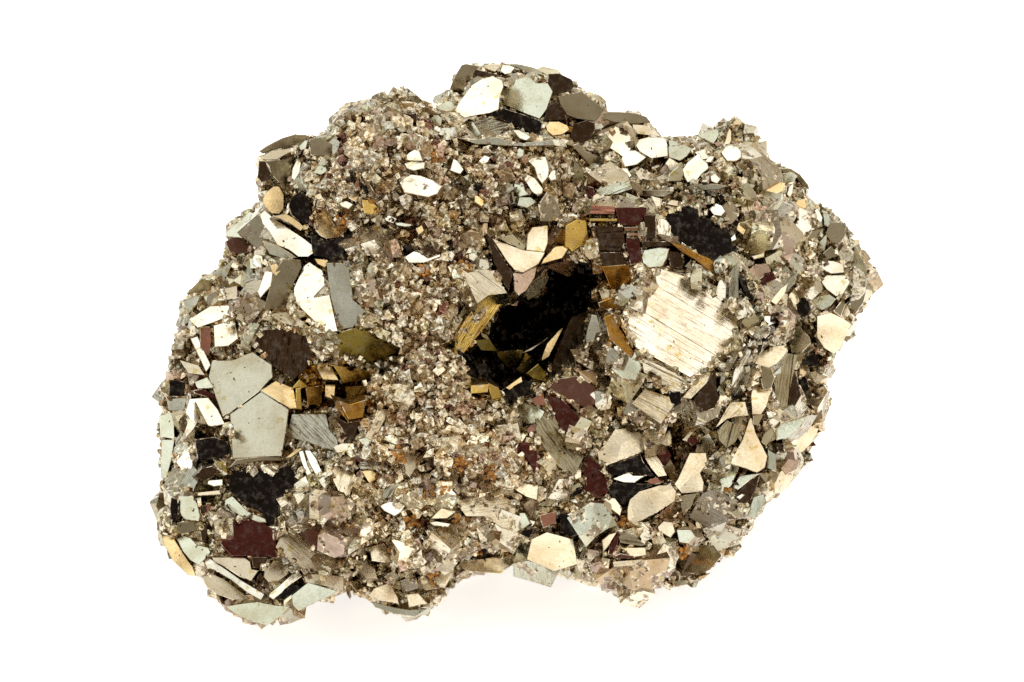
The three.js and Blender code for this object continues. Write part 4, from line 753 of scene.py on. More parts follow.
def face_plane(look, proud, outline, chance):
    """A point of a told-apart face and its outward normal."""
    right, up = (part + chance.uniform(-LEAN_SPREAD, LEAN_SPREAD) for part in LEAN[look])
    normal = (RIGHT * right + UP * up + TOWARDS).normalized()
    middle = Vector(np.mean(outline, axis=0))
    places = [middle] + [middle.lerp(Vector(corner), WAY_TO_CORNERS) for corner in outline]
    hits = [hit for hit in (stone_at(*place) for place in places) if hit]
    reach = sorted(hit.dot(normal) for hit in hits)
    flat = reach[-1] - reach[0] < SURE_FLATNESS + FLATNESS_SLOPE * (hits[0] - hits[-1]).length
    level = reach[int(len(reach) * SHARE_BEHIND)] + (FLAT_LIFT if flat else proud * PROUD_SHARE * MM)
    ray = sight(*middle)
    return EYE + ray * ((level - EYE.dot(normal)) / ray.dot(normal)), normal


def on_plane(u, v, point, normal):
    """Where the ray through a place of the eye's plane meets a face's plane."""
    ray = sight(u, v)
    return EYE + ray * ((point - EYE).dot(normal) / ray.dot(normal))


# %% Neighbours that meet
MEETING_DISTANCE = 0.75
MEETING_STEP = 2.2
LEAN_HOLD = 20.0
HEIGHT_HOLD = 0.5


def eye_frame(point):
    """A point as millimetres to the right, up and towards the eye from the middle."""
    offset = (point - MIDDLE) / MM
    return np.array([offset.dot(RIGHT), offset.dot(UP), offset.dot(TOWARDS)])


def meet_neighbours(planes):
    """Tips and shifts the planes a little, so that faces whose outlines touch also touch in depth."""
    centres = np.array([eye_frame(point) for point, normal in planes])
    leans = np.array([(n.dot(RIGHT) / n.dot(TOWARDS), n.dot(UP) / n.dot(TOWARDS)) for p, n in planes])
    count = len(planes)
    rows, goals = [], []

    def ask(terms, goal, weight):
        row = np.zeros(3 * count)
        for place, value in terms:
            row[place] += value * weight
        rows.append(row)
        goals.append(goal * weight)

    for number in range(count):
        ask([(3 * number, 1)], leans[number][0], LEAN_HOLD)
        ask([(3 * number + 1, 1)], leans[number][1], LEAN_HOLD)
        ask([(3 * number + 2, 1)], centres[number][2], HEIGHT_HOLD)
    owners = [number for number, face in enumerate(TOLD_APART) for corner in face[3]]
    corners = np.array([corner for face in TOLD_APART for corner in face[3]])
    meetings = 0
    for other, (look, proud, slope, outline) in enumerate(TOLD_APART):
        gaps = -depth_inside(corners[:, 0], corners[:, 1], outline)
        for row in np.flatnonzero(gaps < MEETING_DISTANCE):
            number = owners[row]
            if number == other:
                continue
            right, up, towards = eye_frame(on_plane(*corners[row], *planes[number]))
            if abs(eye_frame(on_plane(*corners[row], *planes[other]))[2] - towards) < MEETING_STEP:
                terms = []
                for which, sign in ((number, 1), (other, -1)):
                    terms += [(3 * which, -sign * (right - centres[which][0])),
                              (3 * which + 1, -sign * (up - centres[which][1])), (3 * which + 2, sign)]
                ask(terms, 0, 1.0)
                meetings += 1
    solved = np.linalg.lstsq(np.array(rows), np.array(goals), rcond=None)[0].reshape(-1, 3)
    met = []
    for (right, up, towards), (lean_right, lean_up, height) in zip(centres, solved):
        point = MIDDLE + (RIGHT * right + UP * up + TOWARDS * height) * MM
        met.append((point, (RIGHT * lean_right + UP * lean_up + TOWARDS).normalized()))
    print("corners that meet a neighbour:", meetings)
    return met


chance = np.random.RandomState(7)
planes = [face_plane(look, proud, outline, chance) for look, proud, slope, outline in TOLD_APART]
planes = meet_neighbours(planes)
print("faces lie", round(min(point.dot(TOWARDS) for point, normal in planes) / MM, 1), "to",
      round(max(point.dot(TOWARDS) for point, normal in planes) / MM, 1), "mm towards the eye")


# %% Keeping the told-apart faces clear, but for the grains that have grown over their edges
EDGE_GRAINS = 0.12
FINE_GRAIN = 0.62
OVERHANG = 0.35
SUNK_SHARE = 0.3
SUNK_DEPTH = 0.8
BEHIND_FACE = 3.0
BEYOND_FACE = 9.0


def hides_a_face(points, size):
    """Whether something of that size in millimetres, at each point, would stand in front of a face."""
    u, v = seen_at(points)
    hides = np.zeros(len(points), bool)
    for (look, proud, slope, outline), (point, normal) in zip(TOLD_APART, planes):
        height = (points - np.array(point)) @ np.array(normal) / MM
        near = (height > -BEHIND_FACE) & (height < BEYOND_FACE)
        near &= np.abs(u - np.mean(outline, axis=0)[0]) < BEYOND_FACE
        if near.any():
            rows = np.flatnonzero(near)
            margin = np.where(size[rows] < FINE_GRAIN, EDGE_GRAINS, 0) - OVERHANG * size[rows]
            over = depth_inside(u[rows], v[rows], outline) > margin
            hides[rows[over & (height[rows] > -SUNK_SHARE * size[rows] - SUNK_DEPTH)]] = True
    return hides


# %% [markdown]
# ## The mass
#
# Between the crystals the stone is a mass of grains that grew into one another: no face of it is larger
# than a millimetre, and it glitters because each grain's face leans its own way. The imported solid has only
# the large lumps. A voxel remesh gives it an even skin, noise at two sizes roughens the skin, and a
# decimation turns the soft waves into small flat facets, which is what broken pyrite has. Sculpting could
# do the same, but never twice alike, and a bump map would leave the rim smooth.

# %% The mass: an even skin, roughened and broken into facets
SKIN_VOXEL = 0.42 * MM
SKIN_SUNK = 0.35 * MM
LUMP_SIZE = 2.6 * MM
LUMP_HEIGHT = 1.1 * MM
LUMP_LEVEL = 0.35
GRAIN_SIZE = 0.7 * MM
GRAIN_HEIGHT = 0.45 * MM
FACETS_KEPT = 0.62


def apply_modifier(piece, kind, **settings):
    """Adds a modifier, sets it and applies it."""
    modifier = piece.modifiers.new(kind.lower(), kind)
    for setting, value in settings.items():
        setattr(modifier, setting, value)
    fresh_start()
    piece.select_set(True)
    bpy.context.view_layer.objects.active = piece
    bpy.ops.object.modifier_apply(modifier=modifier.name)


def grain_pattern(name, kind, size):
    """A procedural pattern for the Displace modifier."""
    pattern = bpy.data.textures.new(name, kind)
    pattern.noise_scale = size
    return pattern


mass = merged_copy(cluster, "pyrite_mass")
apply_modifier(mass, "REMESH", mode="VOXEL", voxel_size=SKIN_VOXEL)
apply_modifier(mass, "DISPLACE", strength=-SKIN_SUNK, mid_level=0)
lumps = grain_pattern("lumps", "VORONOI", LUMP_SIZE)
apply_modifier(mass, "DISPLACE", texture=lumps, texture_coords="LOCAL", strength=-LUMP_HEIGHT,
               mid_level=LUMP_LEVEL)
grains = grain_pattern("grains", "CLOUDS", GRAIN_SIZE)
apply_modifier(mass, "DISPLACE", texture=grains, texture_coords="LOCAL", strength=GRAIN_HEIGHT)
apply_modifier(mass, "DECIMATE", ratio=FACETS_KEPT)
print("mass:", len(mass.data.polygons), "facets")


# %% The mass: the broken underside, and room for the told-apart faces
def read_points(piece):
    """The piece's points as rows."""
    points = np.empty(len(piece.data.vertices) * 3)
    piece.data.vertices.foreach_get("co", points)
    return points.reshape(-1, 3)


UNDERSIDE_BAND = 1.0 * MM
UNDERSIDE_SQUASH = 0.55
UNDERSIDE_DROP = 0.12 * MM
FACE_CLEARANCE = 0.3
PUSH_REACH = 6
PUSH_MARGIN = 0.05
points = read_points(mass)
resting = points[:, 2] < UNDERSIDE_BAND
points[resting, 2] = np.maximum(points[resting, 2] * UNDERSIDE_SQUASH - UNDERSIDE_DROP, 0)
points[:, 2] = np.maximum(points[:, 2], 0)
u, v = seen_at(points)
pushed = 0
for (look, proud, slope, outline), (point, normal) in zip(TOLD_APART, planes):
    height = (points - np.array(point)) @ np.array(normal) / MM
    over = np.flatnonzero((height > -FACE_CLEARANCE) & (height < PUSH_REACH))
    over = over[depth_inside(u[over], v[over], outline) > -PUSH_MARGIN]
    rays = points[over] - np.array(EYE)
    rays /= np.linalg.norm(rays, axis=1)[:, None]
    points[over] += rays * ((height[over] + FACE_CLEARANCE) * MM / -(rays @ np.array(normal)))[:, None]
    pushed += len(over)
mass.data.vertices.foreach_set("co", points.ravel())
mass.data.polygons.foreach_set("use_smooth", np.zeros(len(mass.data.polygons), bool))
mass.data.update()
print("points pushed in behind faces:", pushed)

# %% [markdown]
# ## A block for each told-apart face
#
# Only the front of such a crystal shows; the rest is grown into the mass. So each one starts as a circle
# with as many corners as the face, the corners are moved to where the rays from the eye meet the face's
# plane, and the face is extruded back into the mass and widened on the way. A light bevel round the front
# gives the worn, bright edge. Cubes cut to size would never match the outlines.
#
# Growth lines are real steps. On the faces that show them the front is cut into strips by bisect, and some
# of the strips are lifted by a few hundredths of a millimetre.

# %% Modelling one block
BLOCK_DEPTH = 3.2 * MM
BLOCK_FLARE = 0.1
RIM_DEPTH = 1.8 * MM
RIM_TAPER = -0.28
NEAR_RIM = 1.3
EDGE_WEAR = 0.05 * MM
LINE_SPACING = (0.16, 0.55)
STEP_HEIGHTS = (0.035 * MM, -0.03 * MM, 0.07 * MM)
STEPPED_SHARE = 0.4
STRIPS_BEYOND = 1.5
LEAST_WIDTH = 0.6
SAME_WAY = 0.999


def select_front(block, normal, share=1.0, chance=None):
    """Selects the faces of a block in edit mode that look along its front's normal."""
    shape = bmesh.from_edit_mesh(block.data)
    for element in list(shape.verts) + list(shape.edges) + list(shape.faces):
        element.select = False
    for face in shape.faces:
        if face.normal.dot(normal) > SAME_WAY and (chance is None or chance.rand() < share):
            face.select = True
    shape.select_flush(True)
    bmesh.update_edit_mesh(block.data)


def crystal_block(outline, point, normal, line_way, step_share, chance):
    """A crystal seen through one face: corners on the face's plane, grown back into the mass."""
    corners = [on_plane(u, v, point, normal) for u, v in outline]
    rows = np.array(outline)
    at_rim = depth_inside(rows[:, 0], rows[:, 1], RIM).min() < NEAR_RIM
    depth, flare = (RIM_DEPTH, RIM_TAPER) if at_rim else (BLOCK_DEPTH, BLOCK_FLARE)
    inward = -(TOWARDS if at_rim else (normal + TOWARDS).normalized()) * depth
    centre = sum(corners, Vector()) / len(corners)
    radius = sum((corner - centre).length for corner in corners) / len(corners)
    fresh_start()
    bpy.ops.mesh.primitive_circle_add(vertices=len(corners), radius=radius, fill_type="NGON",
                                      location=centre)
    block = bpy.context.object
    for vertex, corner in zip(block.data.vertices, corners):
        vertex.co = corner - centre
    bpy.ops.object.mode_set(mode="EDIT")
    bpy.ops.mesh.select_all(action="SELECT")
    if line_way:
        across = normal.cross(line_way)
        place = -radius * STRIPS_BEYOND + chance.uniform(*LINE_SPACING) * MM
        while place < radius * STRIPS_BEYOND:
            bpy.ops.mesh.select_all(action="SELECT")
            bpy.ops.mesh.bisect(plane_co=centre + across * place, plane_no=across)
            place += chance.uniform(*LINE_SPACING) * MM
        bpy.ops.mesh.select_all(action="SELECT")
    bpy.ops.mesh.extrude_region_move(TRANSFORM_OT_translate={"value": inward})
    widen = max(1 + flare * depth / radius, LEAST_WIDTH)
    bpy.ops.transform.resize(value=(widen, widen, widen), center_override=centre + inward)
    bpy.ops.mesh.select_all(action="SELECT")
    bpy.ops.mesh.normals_make_consistent(inside=False)
    if line_way:
        for step in STEP_HEIGHTS:
            select_front(block, normal, STEPPED_SHARE, chance)
            bpy.ops.mesh.extrude_region_move(TRANSFORM_OT_translate={"value": normal * step * step_share})
    else:
        select_front(block, normal)
        bpy.ops.mesh.bevel(offset=EDGE_WEAR, segments=1, affect="EDGES")
    bpy.ops.object.mode_set(mode="OBJECT")
    return block


def set_face_values(mesh, name, kind, values):
    """Stores one value for each face of a mesh under a name that a material can read."""
    layer = mesh.attributes.new(name, kind, "FACE")
    layer.data.foreach_set("color" if kind == "FLOAT_COLOR" else "value", np.ravel(values))


def lay_line_map(mesh, line_way, normal):
    """A UV map in millimetres: along the growth lines, and across them."""
    across = normal.cross(line_way)
    lines = mesh.uv_layers.new(name="growth_lines")
    for loop in mesh.loops:
        place = mesh.vertices[loop.vertex_index].co
        lines.data[loop.index].uv = (place.dot(line_way) / MM, place.dot(across) / MM)


def way_of_slope(slope, normal):
    """The direction on a face that the eye sees at that slope, in degrees above level."""
    way = RIGHT * math.cos(math.radians(slope)) + UP * math.sin(math.radians(slope))
    return (way - normal * way.dot(normal)).normalized()


def longest_edge_slope(outline):
    """The slope of an outline's longest edge, in degrees."""
    edges = zip(outline, outline[1:] + outline[:1])
    (u0, v0), (u1, v1) = max(edges, key=lambda edge: math.dist(*edge))
    return math.degrees(math.atan2(v1 - v0, u1 - u0))


# %% All the blocks, each with its film, its lines and its map
SIDE_FILMS = ("olive", "grey", "taupe", "cream", "bronze")
DARK_LOOKS = ("black", "maroon", "gold", "amber", "umber", "moss")
PALE_LINED = ("cream", "ivory")
FAINT_LINES = 0.06
SOFT_LINES = 0.55
SOFT_STEPS = 0.45
FRONT_WAY = 0.8
FACE_TONES = (0.9, 1.06)
FACE_CRUST = 0.06
GRAINY_CRUST = 0.2
CRUST_SHARE = 0.24
blocks = []
chance = np.random.RandomState(19)
for (look, proud, slope, outline), (point, normal) in zip(TOLD_APART, planes):
    line_way = way_of_slope(longest_edge_slope(outline) if slope is None else slope, normal)
    lined_way = None if slope is None else line_way
    step_share = SOFT_STEPS if look in PALE_LINED else 1.0
    block = crystal_block(outline, point, normal, lined_way, step_share, chance)
    block.data.transform(block.matrix_world)
    block.matrix_world = Matrix.Identity(4)
    for vertex in block.data.vertices:
        vertex.co.z = max(vertex.co.z, 0)
    front = [face.normal.dot(normal) > FRONT_WAY for face in block.data.polygons]
    side = FILM[SIDE_FILMS[chance.randint(len(SIDE_FILMS))]]
    if look in DARK_LOOKS:
        side = FILM[look]
    tone = chance.uniform(*FACE_TONES)
    films = [[tone * part for part in (FILM[look] if shows else side)] + [1] for shows in front]
    set_face_values(block.data, "film", "FLOAT_COLOR", films)
    depth = FAINT_LINES if slope is None else SOFT_LINES if look in PALE_LINED else 1.0
    set_face_values(block.data, "lines", "FLOAT", [depth] * len(front))
    u, v = np.mean(outline, axis=0)[:, None]
    crust = GRAINY_CRUST if deepest_inside(u, v, FINE_GRAINED)[0] > 0 else FACE_CRUST
    set_face_values(block.data, "crusty", "FLOAT", [crust if shows else CRUST_SHARE for shows in front])
    lay_line_map(block.data, line_way, normal)
    blocks.append(block)

fresh_start()
for block in blocks:
    block.select_set(True)
bpy.context.view_layer.objects.active = blocks[0]
bpy.ops.object.join()
crystal_blocks = bpy.context.object
crystal_blocks.name = "crystal_blocks"
crystal_blocks.data.name = "crystal_blocks"
print("crystal blocks:", len(blocks), "of", len(crystal_blocks.data.polygons), "faces in all")

# %% [markdown]
# ## Seed crystals
#
# The thousands of smaller crystals are copies of a few seeds. Pyrite's own forms are few: the cube, the
# pyritohedron with its twelve five-sided faces, and what lies between. Each seed starts as a cube and is
# cut by bisect planes, as a lapidary would cut it, with the cut filled. A seed has a few dozen faces at
# most, because every face of it is repeated thousands of times.

# %% Cutting the seeds
def cut_seed(name, cuts):
    """A cube one unit wide, cut by planes given as an outward normal and a distance from the middle."""
    fresh_start()
    bpy.ops.mesh.primitive_cube_add(size=1)
    seed = bpy.context.object
    seed.name = name
    bpy.ops.object.mode_set(mode="EDIT")
    for normal, distance in cuts:
        way = Vector(normal).normalized()
        bpy.ops.mesh.select_all(action="SELECT")
        bpy.ops.mesh.bisect(plane_co=way * distance, plane_no=way, use_fill=True, clear_outer=True)
    bpy.ops.mesh.select_all(action="SELECT")
    bpy.ops.mesh.normals_make_consistent(inside=False)
    bpy.ops.object.mode_set(mode="OBJECT")
    return seed


def pyritohedron_cuts(distance):
    """The twelve planes of the pyritohedron."""
    cuts = []
    for a in (-1, 1):
        for b in (-2, 2):
            cuts += [((0, a, b), distance), ((a, b, 0), distance), ((b, 0, a), distance)]
    return cuts


seeds = [
    cut_seed("worn_cube", [((1, 1, 1), 0.72), ((-1, 1, 0.8), 0.70), ((1, -0.9, 1), 0.66)]),
    cut_seed("pyritohedron", pyritohedron_cuts(0.447)),
    cut_seed("leaning_cube", [((1, 0.35, 0.2), 0.5), ((0.1, -1, 0.3), 0.46), ((-0.2, 0.3, 1), 0.47)]),
    cut_seed("cube_and_octahedron", [((a, b, c), 0.62) for a in (-1, 1) for b in (-1, 1) for c in (-1, 1)]),
]
grain_seeds = [
    cut_seed("grain_cube", [((1, 1, 1), 0.6)]),
    cut_seed("grain_wedge", [((1, 0.2, 0.9), 0.35), ((-0.8, 0.5, 1), 0.4)]),
]
print("seeds:", {seed.name: len(seed.data.polygons) for seed in seeds + grain_seeds})


# %% Copying seeds into one mesh
MAP_SHIFT = 7


def seed_rows(seed):
    """A seed's points, its faces' corners, where each face's corners begin, and a map of each face."""
    mesh = seed.data
    points = np.array([vertex.co for vertex in mesh.vertices])
    corners = np.array([index for face in mesh.polygons for index in face.vertices])
    starts = np.array([face.loop_start for face in mesh.polygons])
    flat = []
    for face in mesh.polygons:
        way = (mesh.vertices[face.vertices[1]].co - mesh.vertices[face.vertices[0]].co).normalized()
        across = face.normal.cross(way)
        corners_of_face = [mesh.vertices[index].co for index in face.vertices]
        flat += [(corner.dot(way), corner.dot(across)) for corner in corners_of_face]
    return points, corners, starts, np.array(flat), len(mesh.polygons)


def join_copies(name, seeds, copies):
    """One mesh of many copies, each a seed's number, a 3 by 3 turn, a place, a film and a line depth."""
    rows = [seed_rows(seed) for seed in seeds]
    points, corners, starts, flat, films, lines = [], [], [], [], [], []
    points_so_far = corners_so_far = 0
    for number, turn, place, film, line in copies:
        seed_points, seed_corners, seed_starts, seed_flat, face_count = rows[number]
        points.append(seed_points @ turn.T + place)
        corners.append(seed_corners + points_so_far)
        starts.append(seed_starts + corners_so_far)
        flat.append(seed_flat * abs(np.linalg.det(turn)) ** (1 / 3) / MM + MAP_SHIFT * film[0])
        films.append(np.tile(film, (face_count, 1)))
        lines.append(np.full(face_count, line))
        points_so_far += len(seed_points)
        corners_so_far += len(seed_corners)
    points, starts = np.concatenate(points), np.concatenate(starts)
    points[:, 2] = np.maximum(points[:, 2], 0)
    mesh = bpy.data.meshes.new(name)
    mesh.vertices.add(len(points))
    mesh.vertices.foreach_set("co", points.ravel())
    mesh.loops.add(corners_so_far)
    mesh.loops.foreach_set("vertex_index", np.concatenate(corners))
    mesh.polygons.add(len(starts))
    mesh.polygons.foreach_set("loop_start", starts)
    mesh.polygons.foreach_set("use_smooth", np.zeros(len(starts), bool))
    mesh.update(calc_edges=True)
    mesh.validate()
    set_face_values(mesh, "film", "FLOAT_COLOR", np.concatenate(films))
    set_face_values(mesh, "lines", "FLOAT", np.concatenate(lines))
    set_face_values(mesh, "crusty", "FLOAT", np.full(len(starts), CRUST_SHARE))
    mesh.uv_layers.new(name="growth_lines").data.foreach_set("uv", np.concatenate(flat).ravel())
    piece = bpy.data.objects.new(name, mesh)
    bpy.context.scene.collection.objects.link(piece)
    triangles = sum(len(face.vertices) - 2 for face in mesh.polygons)
    print(name + ":", len(copies), "copies,", triangles, "triangles")
    return piece


# %% [markdown]
# ## Where the smaller crystals take root
#
# Crystals grow all over the stone, so places are drawn at random by area, on the back and the underside as
# much as on the front. A crystal needs room, so a place too near an earlier one is passed over. None stands
# in front of a told-apart face, in a fine-grained patch or past the rim. Each is turned so that one of its
# faces looks roughly outward, because that is how a crowded crystal shows: as a flat facet, not as a spike.

# %% Drawing places and keeping them apart
def drawn_places(count, chance):
    """Places on the whole stone, drawn by area, with the stone's normal at each."""
    a, b, c = (root_points[root_triangles[:, corner]] for corner in range(3))
    normals = np.cross(b - a, c - a)
    areas = np.linalg.norm(normals, axis=1)
    picks = chance.choice(len(areas), count, p=areas / areas.sum())
    first, second = chance.rand(count), chance.rand(count)
    folded = first + second > 1
    first, second = np.where(folded, 1 - first, first), np.where(folded, 1 - second, second)
    places = a[picks] + (b - a)[picks] * first[:, None] + (c - a)[picks] * second[:, None]
    return places, normals[picks] / areas[picks][:, None]


def spaced_apart(places, sizes, spacing):
    """Which places keep their distance from the ones kept before them."""
    cell = sizes.max() * spacing * MM
    kept, boxes = [], {}
    for row, (place, size) in enumerate(zip(places, sizes)):
        key = tuple((place // cell).astype(int))
        near = [other for dx in (-1, 0, 1) for dy in (-1, 0, 1) for dz in (-1, 0, 1)
                for other in boxes.get((key[0] + dx, key[1] + dy, key[2] + dz), ())]
        if near:
            gaps = np.linalg.norm(places[near] - place, axis=1)
            if (gaps < spacing * MM * (sizes[near] + size) / 2).any():
                continue
        kept.append(row)
        boxes.setdefault(key, []).append(row)
    return np.array(kept)


def outward_turn(normal, wander, chance):
    """A turn that brings one face of a seed to look roughly along a normal."""
    outward = Vector(normal) + Vector(chance.normal(0, wander, 3))
    axis = Vector(((0, 0, 1), (0, 1, 2))[chance.randint(2)])
    turn = axis.rotation_difference(outward).to_matrix()
    return np.array(turn @ Matrix.Rotation(chance.uniform(0, 2 * math.pi), 3, axis))


def facing_eye(places, normals):
    """Whether the stone at each place looks at the eye."""
    return ((np.array(EYE) - places) * normals).sum(axis=1) > 0


# %% Films for the smaller crystals
FILM_MIXES = {
    "open": (("cream", 0.36), ("white", 0.2), ("olive", 0.16), ("grey", 0.1), ("bronze", 0.1),
             ("mauve", 0.05), ("pale", 0.03)),
    "right_flank": (("white", 0.22), ("cream", 0.3), ("pale", 0.1), ("grey", 0.16), ("olive", 0.16),
                    ("mauve", 0.06)),
    "middle_band": (("cream", 0.5), ("white", 0.26), ("bronze", 0.11), ("mauve", 0.1), ("dusk", 0.03)),
    "pocket": (("black", 0.97), ("umber", 0.03)),
    "amber_pocket": (("amber", 0.4), ("gold", 0.25), ("umber", 0.25), ("honey", 0.1)),
}

PATCH_SIZE = 1.7 * MM
PATCH_CONTRAST = 0.55
FILM_TONES = (0.8, 1.08)
RIGHT_FLANK_FROM = 15
RIGHT_FLANK_BELOW = 14
POCKET_LIP = 0.2


def drawn_film(mix, place, chance):
    """A film from a mix, lighter or darker each time and from patch to patch."""
    looks, shares = zip(*FILM_MIXES[mix])
    look = looks[chance.choice(len(looks), p=np.array(shares) / sum(shares))]
    patch = 1 + PATCH_CONTRAST * noise.noise(Vector(place) / PATCH_SIZE)
    return np.append(np.minimum(np.array(FILM[look]) * chance.uniform(*FILM_TONES) * patch, 1), 1)


def mixes_at(places, normals):
    """The name of the film mix for each place."""
    u, v = seen_at(places)
    front = facing_eye(places, normals)
    mixes = np.full(len(places), "open", dtype=object)
    mixes[front & (u > RIGHT_FLANK_FROM) & (v < RIGHT_FLANK_BELOW)] = "right_flank"
    mixes[front & (deepest_inside(u, v, FINE_GRAINED) > 0)] = "middle_band"
    for pocket, mix in zip(POCKETS, ("pocket", "amber_pocket")):
        mixes[front & (depth_inside(u, v, pocket) > POCKET_LIP)] = mix
    return mixes


print("mixes:", ", ".join(FILM_MIXES))

# %% The smaller crystals
SMALL_DRAWS = 16000
SMALL_SIZES = (1.1, 3.3)
MORE_SMALL_ONES = 2.2
SMALL_SPACING = 0.62
SMALL_SUNK = 0.24
SMALL_WANDER = 0.34
SMALL_STRETCH = (0.72, 1.2)
SMALL_LOWEST = 0.3 * MM
SEED_SHARES = (0.3, 0.3, 0.25, 0.15)
LINE_DEPTHS = (0.1, 0.5, 1.0)
LINE_SHARES = (0.6, 0.25, 0.15)
RIM_MARGIN = 0.42
PATCH_MARGIN = 0.3
POCKET_MARGIN = 0.35


def small_crystals(chance):
    """Copies of the seeds over the whole stone."""
    places, normals = drawn_places(SMALL_DRAWS, chance)
    sizes = SMALL_SIZES[0] + (SMALL_SIZES[1] - SMALL_SIZES[0]) * chance.rand(SMALL_DRAWS) ** MORE_SMALL_ONES
    sizes = np.sort(sizes)[::-1]
    u, v = seen_at(places)
    front = facing_eye(places, normals)
    fits = depth_inside(u, v, RIM) > sizes * RIM_MARGIN
    fits &= ~(front & (deepest_inside(u, v, FINE_GRAINED) > -PATCH_MARGIN * sizes))
    fits &= ~(front & (deepest_inside(u, v, POCKETS) > -POCKET_MARGIN * sizes))
    fits &= places[:, 2] > SMALL_LOWEST
    fits &= ~hides_a_face(places, sizes)
    places, normals, sizes = places[fits], normals[fits], sizes[fits]
    kept = spaced_apart(places, sizes, SMALL_SPACING)
    mixes = mixes_at(places, normals)
    copies = []
    for row in kept:
        turn = outward_turn(normals[row], SMALL_WANDER, chance)
        stretch = np.diag(chance.uniform(*SMALL_STRETCH, 3)) * sizes[row] * MM
        place = places[row] - normals[row] * sizes[row] * MM * SMALL_SUNK
        film = drawn_film(mixes[row], place, chance)
        copies.append((chance.choice(len(seeds), p=SEED_SHARES), turn @ stretch, place, film,
                       chance.choice(LINE_DEPTHS, p=LINE_SHARES)))
    return copies


crystal_copies = small_crystals(np.random.RandomState(3))
crystals = [join_copies("small_crystals", seeds, crystal_copies)]

# %% [markdown]
# ## Druse
#
# Druse is the crust of tiny crystals that covers whatever the larger ones leave free. The grains are 0.4 to
# 1.5 millimetres wide, which is enough for their facets to flash one by one, and most are near the lower
# end. They are thick in the fine-grained patches and thinner elsewhere. A bump map would be lighter to
# draw, but only separate meshes roughen the rim against the light as well.

# %% The druse
DRUSE_DRAWS = 42000
DRUSE_SIZES = (0.4, 1.5)
MORE_FINE_GRAINS = 2.6
DRUSE_SPACING = 0.6
DRUSE_SUNK = 0.34
DRUSE_WANDER = 0.6
DRUSE_STRETCH = (0.6, 1.3)
DRUSE_LOWEST = 0.1 * MM
DRUSE_ELSEWHERE = 0.62
DRUSE_IN_PATCHES = 0.8


def druse_grains(chance):
    """Copies of the grain seeds wherever the stone is free."""
    places, normals = drawn_places(DRUSE_DRAWS, chance)
    sizes = DRUSE_SIZES[0] + (DRUSE_SIZES[1] - DRUSE_SIZES[0]) * chance.rand(DRUSE_DRAWS) ** MORE_FINE_GRAINS
    u, v = seen_at(places)
    front = facing_eye(places, normals)
    fine = front & (deepest_inside(u, v, FINE_GRAINED) > 0)
    fits = chance.rand(DRUSE_DRAWS) < np.where(fine, DRUSE_IN_PATCHES, DRUSE_ELSEWHERE)
    fits &= depth_inside(u, v, RIM) > sizes * RIM_MARGIN
    fits &= places[:, 2] > DRUSE_LOWEST
    fits &= ~hides_a_face(places, sizes)
    places, normals, sizes = places[fits], normals[fits], sizes[fits]
    kept = spaced_apart(places, sizes, DRUSE_SPACING)
    mixes = mixes_at(places, normals)
    copies = []
    for row in kept:
        turn = outward_turn(normals[row], DRUSE_WANDER, chance)
        stretch = np.diag(chance.uniform(*DRUSE_STRETCH, 3)) * sizes[row] * MM
        place = places[row] - normals[row] * sizes[row] * MM * DRUSE_SUNK
        copies.append((chance.randint(len(grain_seeds)), turn @ stretch, place,
                       drawn_film(mixes[row], place, chance), LINE_DEPTHS[0]))
    return copies


grain_copies = druse_grains(np.random.RandomState(5))
half = len(grain_copies) // 2
druse = [
    join_copies("druse", grain_seeds, grain_copies[:half]),
    join_copies("druse_too", grain_seeds, grain_copies[half:]),
]

# %% [markdown]
# ## Rust
#
# Where damp sat in a crevice the pyrite has weathered to limonite, an earthy rust-orange crust. It sits in
# a few spots among the grains. A stain in the material alone would lie flat in the crevices, and crumbs
# alone would look strewn on, so there are both: the crumbs here, and a stain on the mass under them.

# %% Limonite crumbs
CRUMBS_PER_SPOT = 16
CRUMB_SIZES = (0.12, 0.34)
CRUMB_WANDER = 1.5
CRUMB_TONES = (0.5, 1.3)


def limonite_crumbs(chance):
    """Crumbs thrown round each rust spot, and down onto the stone from the eye."""
    copies = []
    for u0, v0 in RUST_SPOTS:
        for _ in range(CRUMBS_PER_SPOT):
            place = stone_at(u0 + chance.normal(0, RUST_SPREAD / 2), v0 + chance.normal(0, RUST_SPREAD / 2))
            size = chance.uniform(*CRUMB_SIZES)
            if place is None or hides_a_face(np.array([place]), np.array([size]))[0]:
                continue
            turn = outward_turn(np.array(TOWARDS), CRUMB_WANDER, chance)
            film = np.append(np.array(linear("#D9A24C")) * chance.uniform(*CRUMB_TONES), 1)
            copies.append((chance.randint(len(grain_seeds)), turn * size * MM, np.array(place), film, 0))
    return copies


crumbs = join_copies("limonite_crumbs", grain_seeds, limonite_crumbs(np.random.RandomState(11)))
for seed in seeds + grain_seeds:
    bpy.data.objects.remove(seed)

# %% [markdown]
# ## Hollows
#
# Light reaches the bottom of a crevice only after many bounces. How hollow a point
# of the mass lies is measured once: short rays leave it over its own half of the sky, and the share that
# meets stone is stored as an attribute. The mass's colour is darkened towards brown by it, a painted shade
# in the crevices. A material node could do this at render time, but a stored value gives the same look in
# any viewer.

# %% Films, hollows and rust of the mass
HOLLOW_RAYS = 14
HOLLOW_REACH = 2.2 * MM
RAY_START = 0.05
RAY_LIFT = 0.4
RUSTY = 0.3


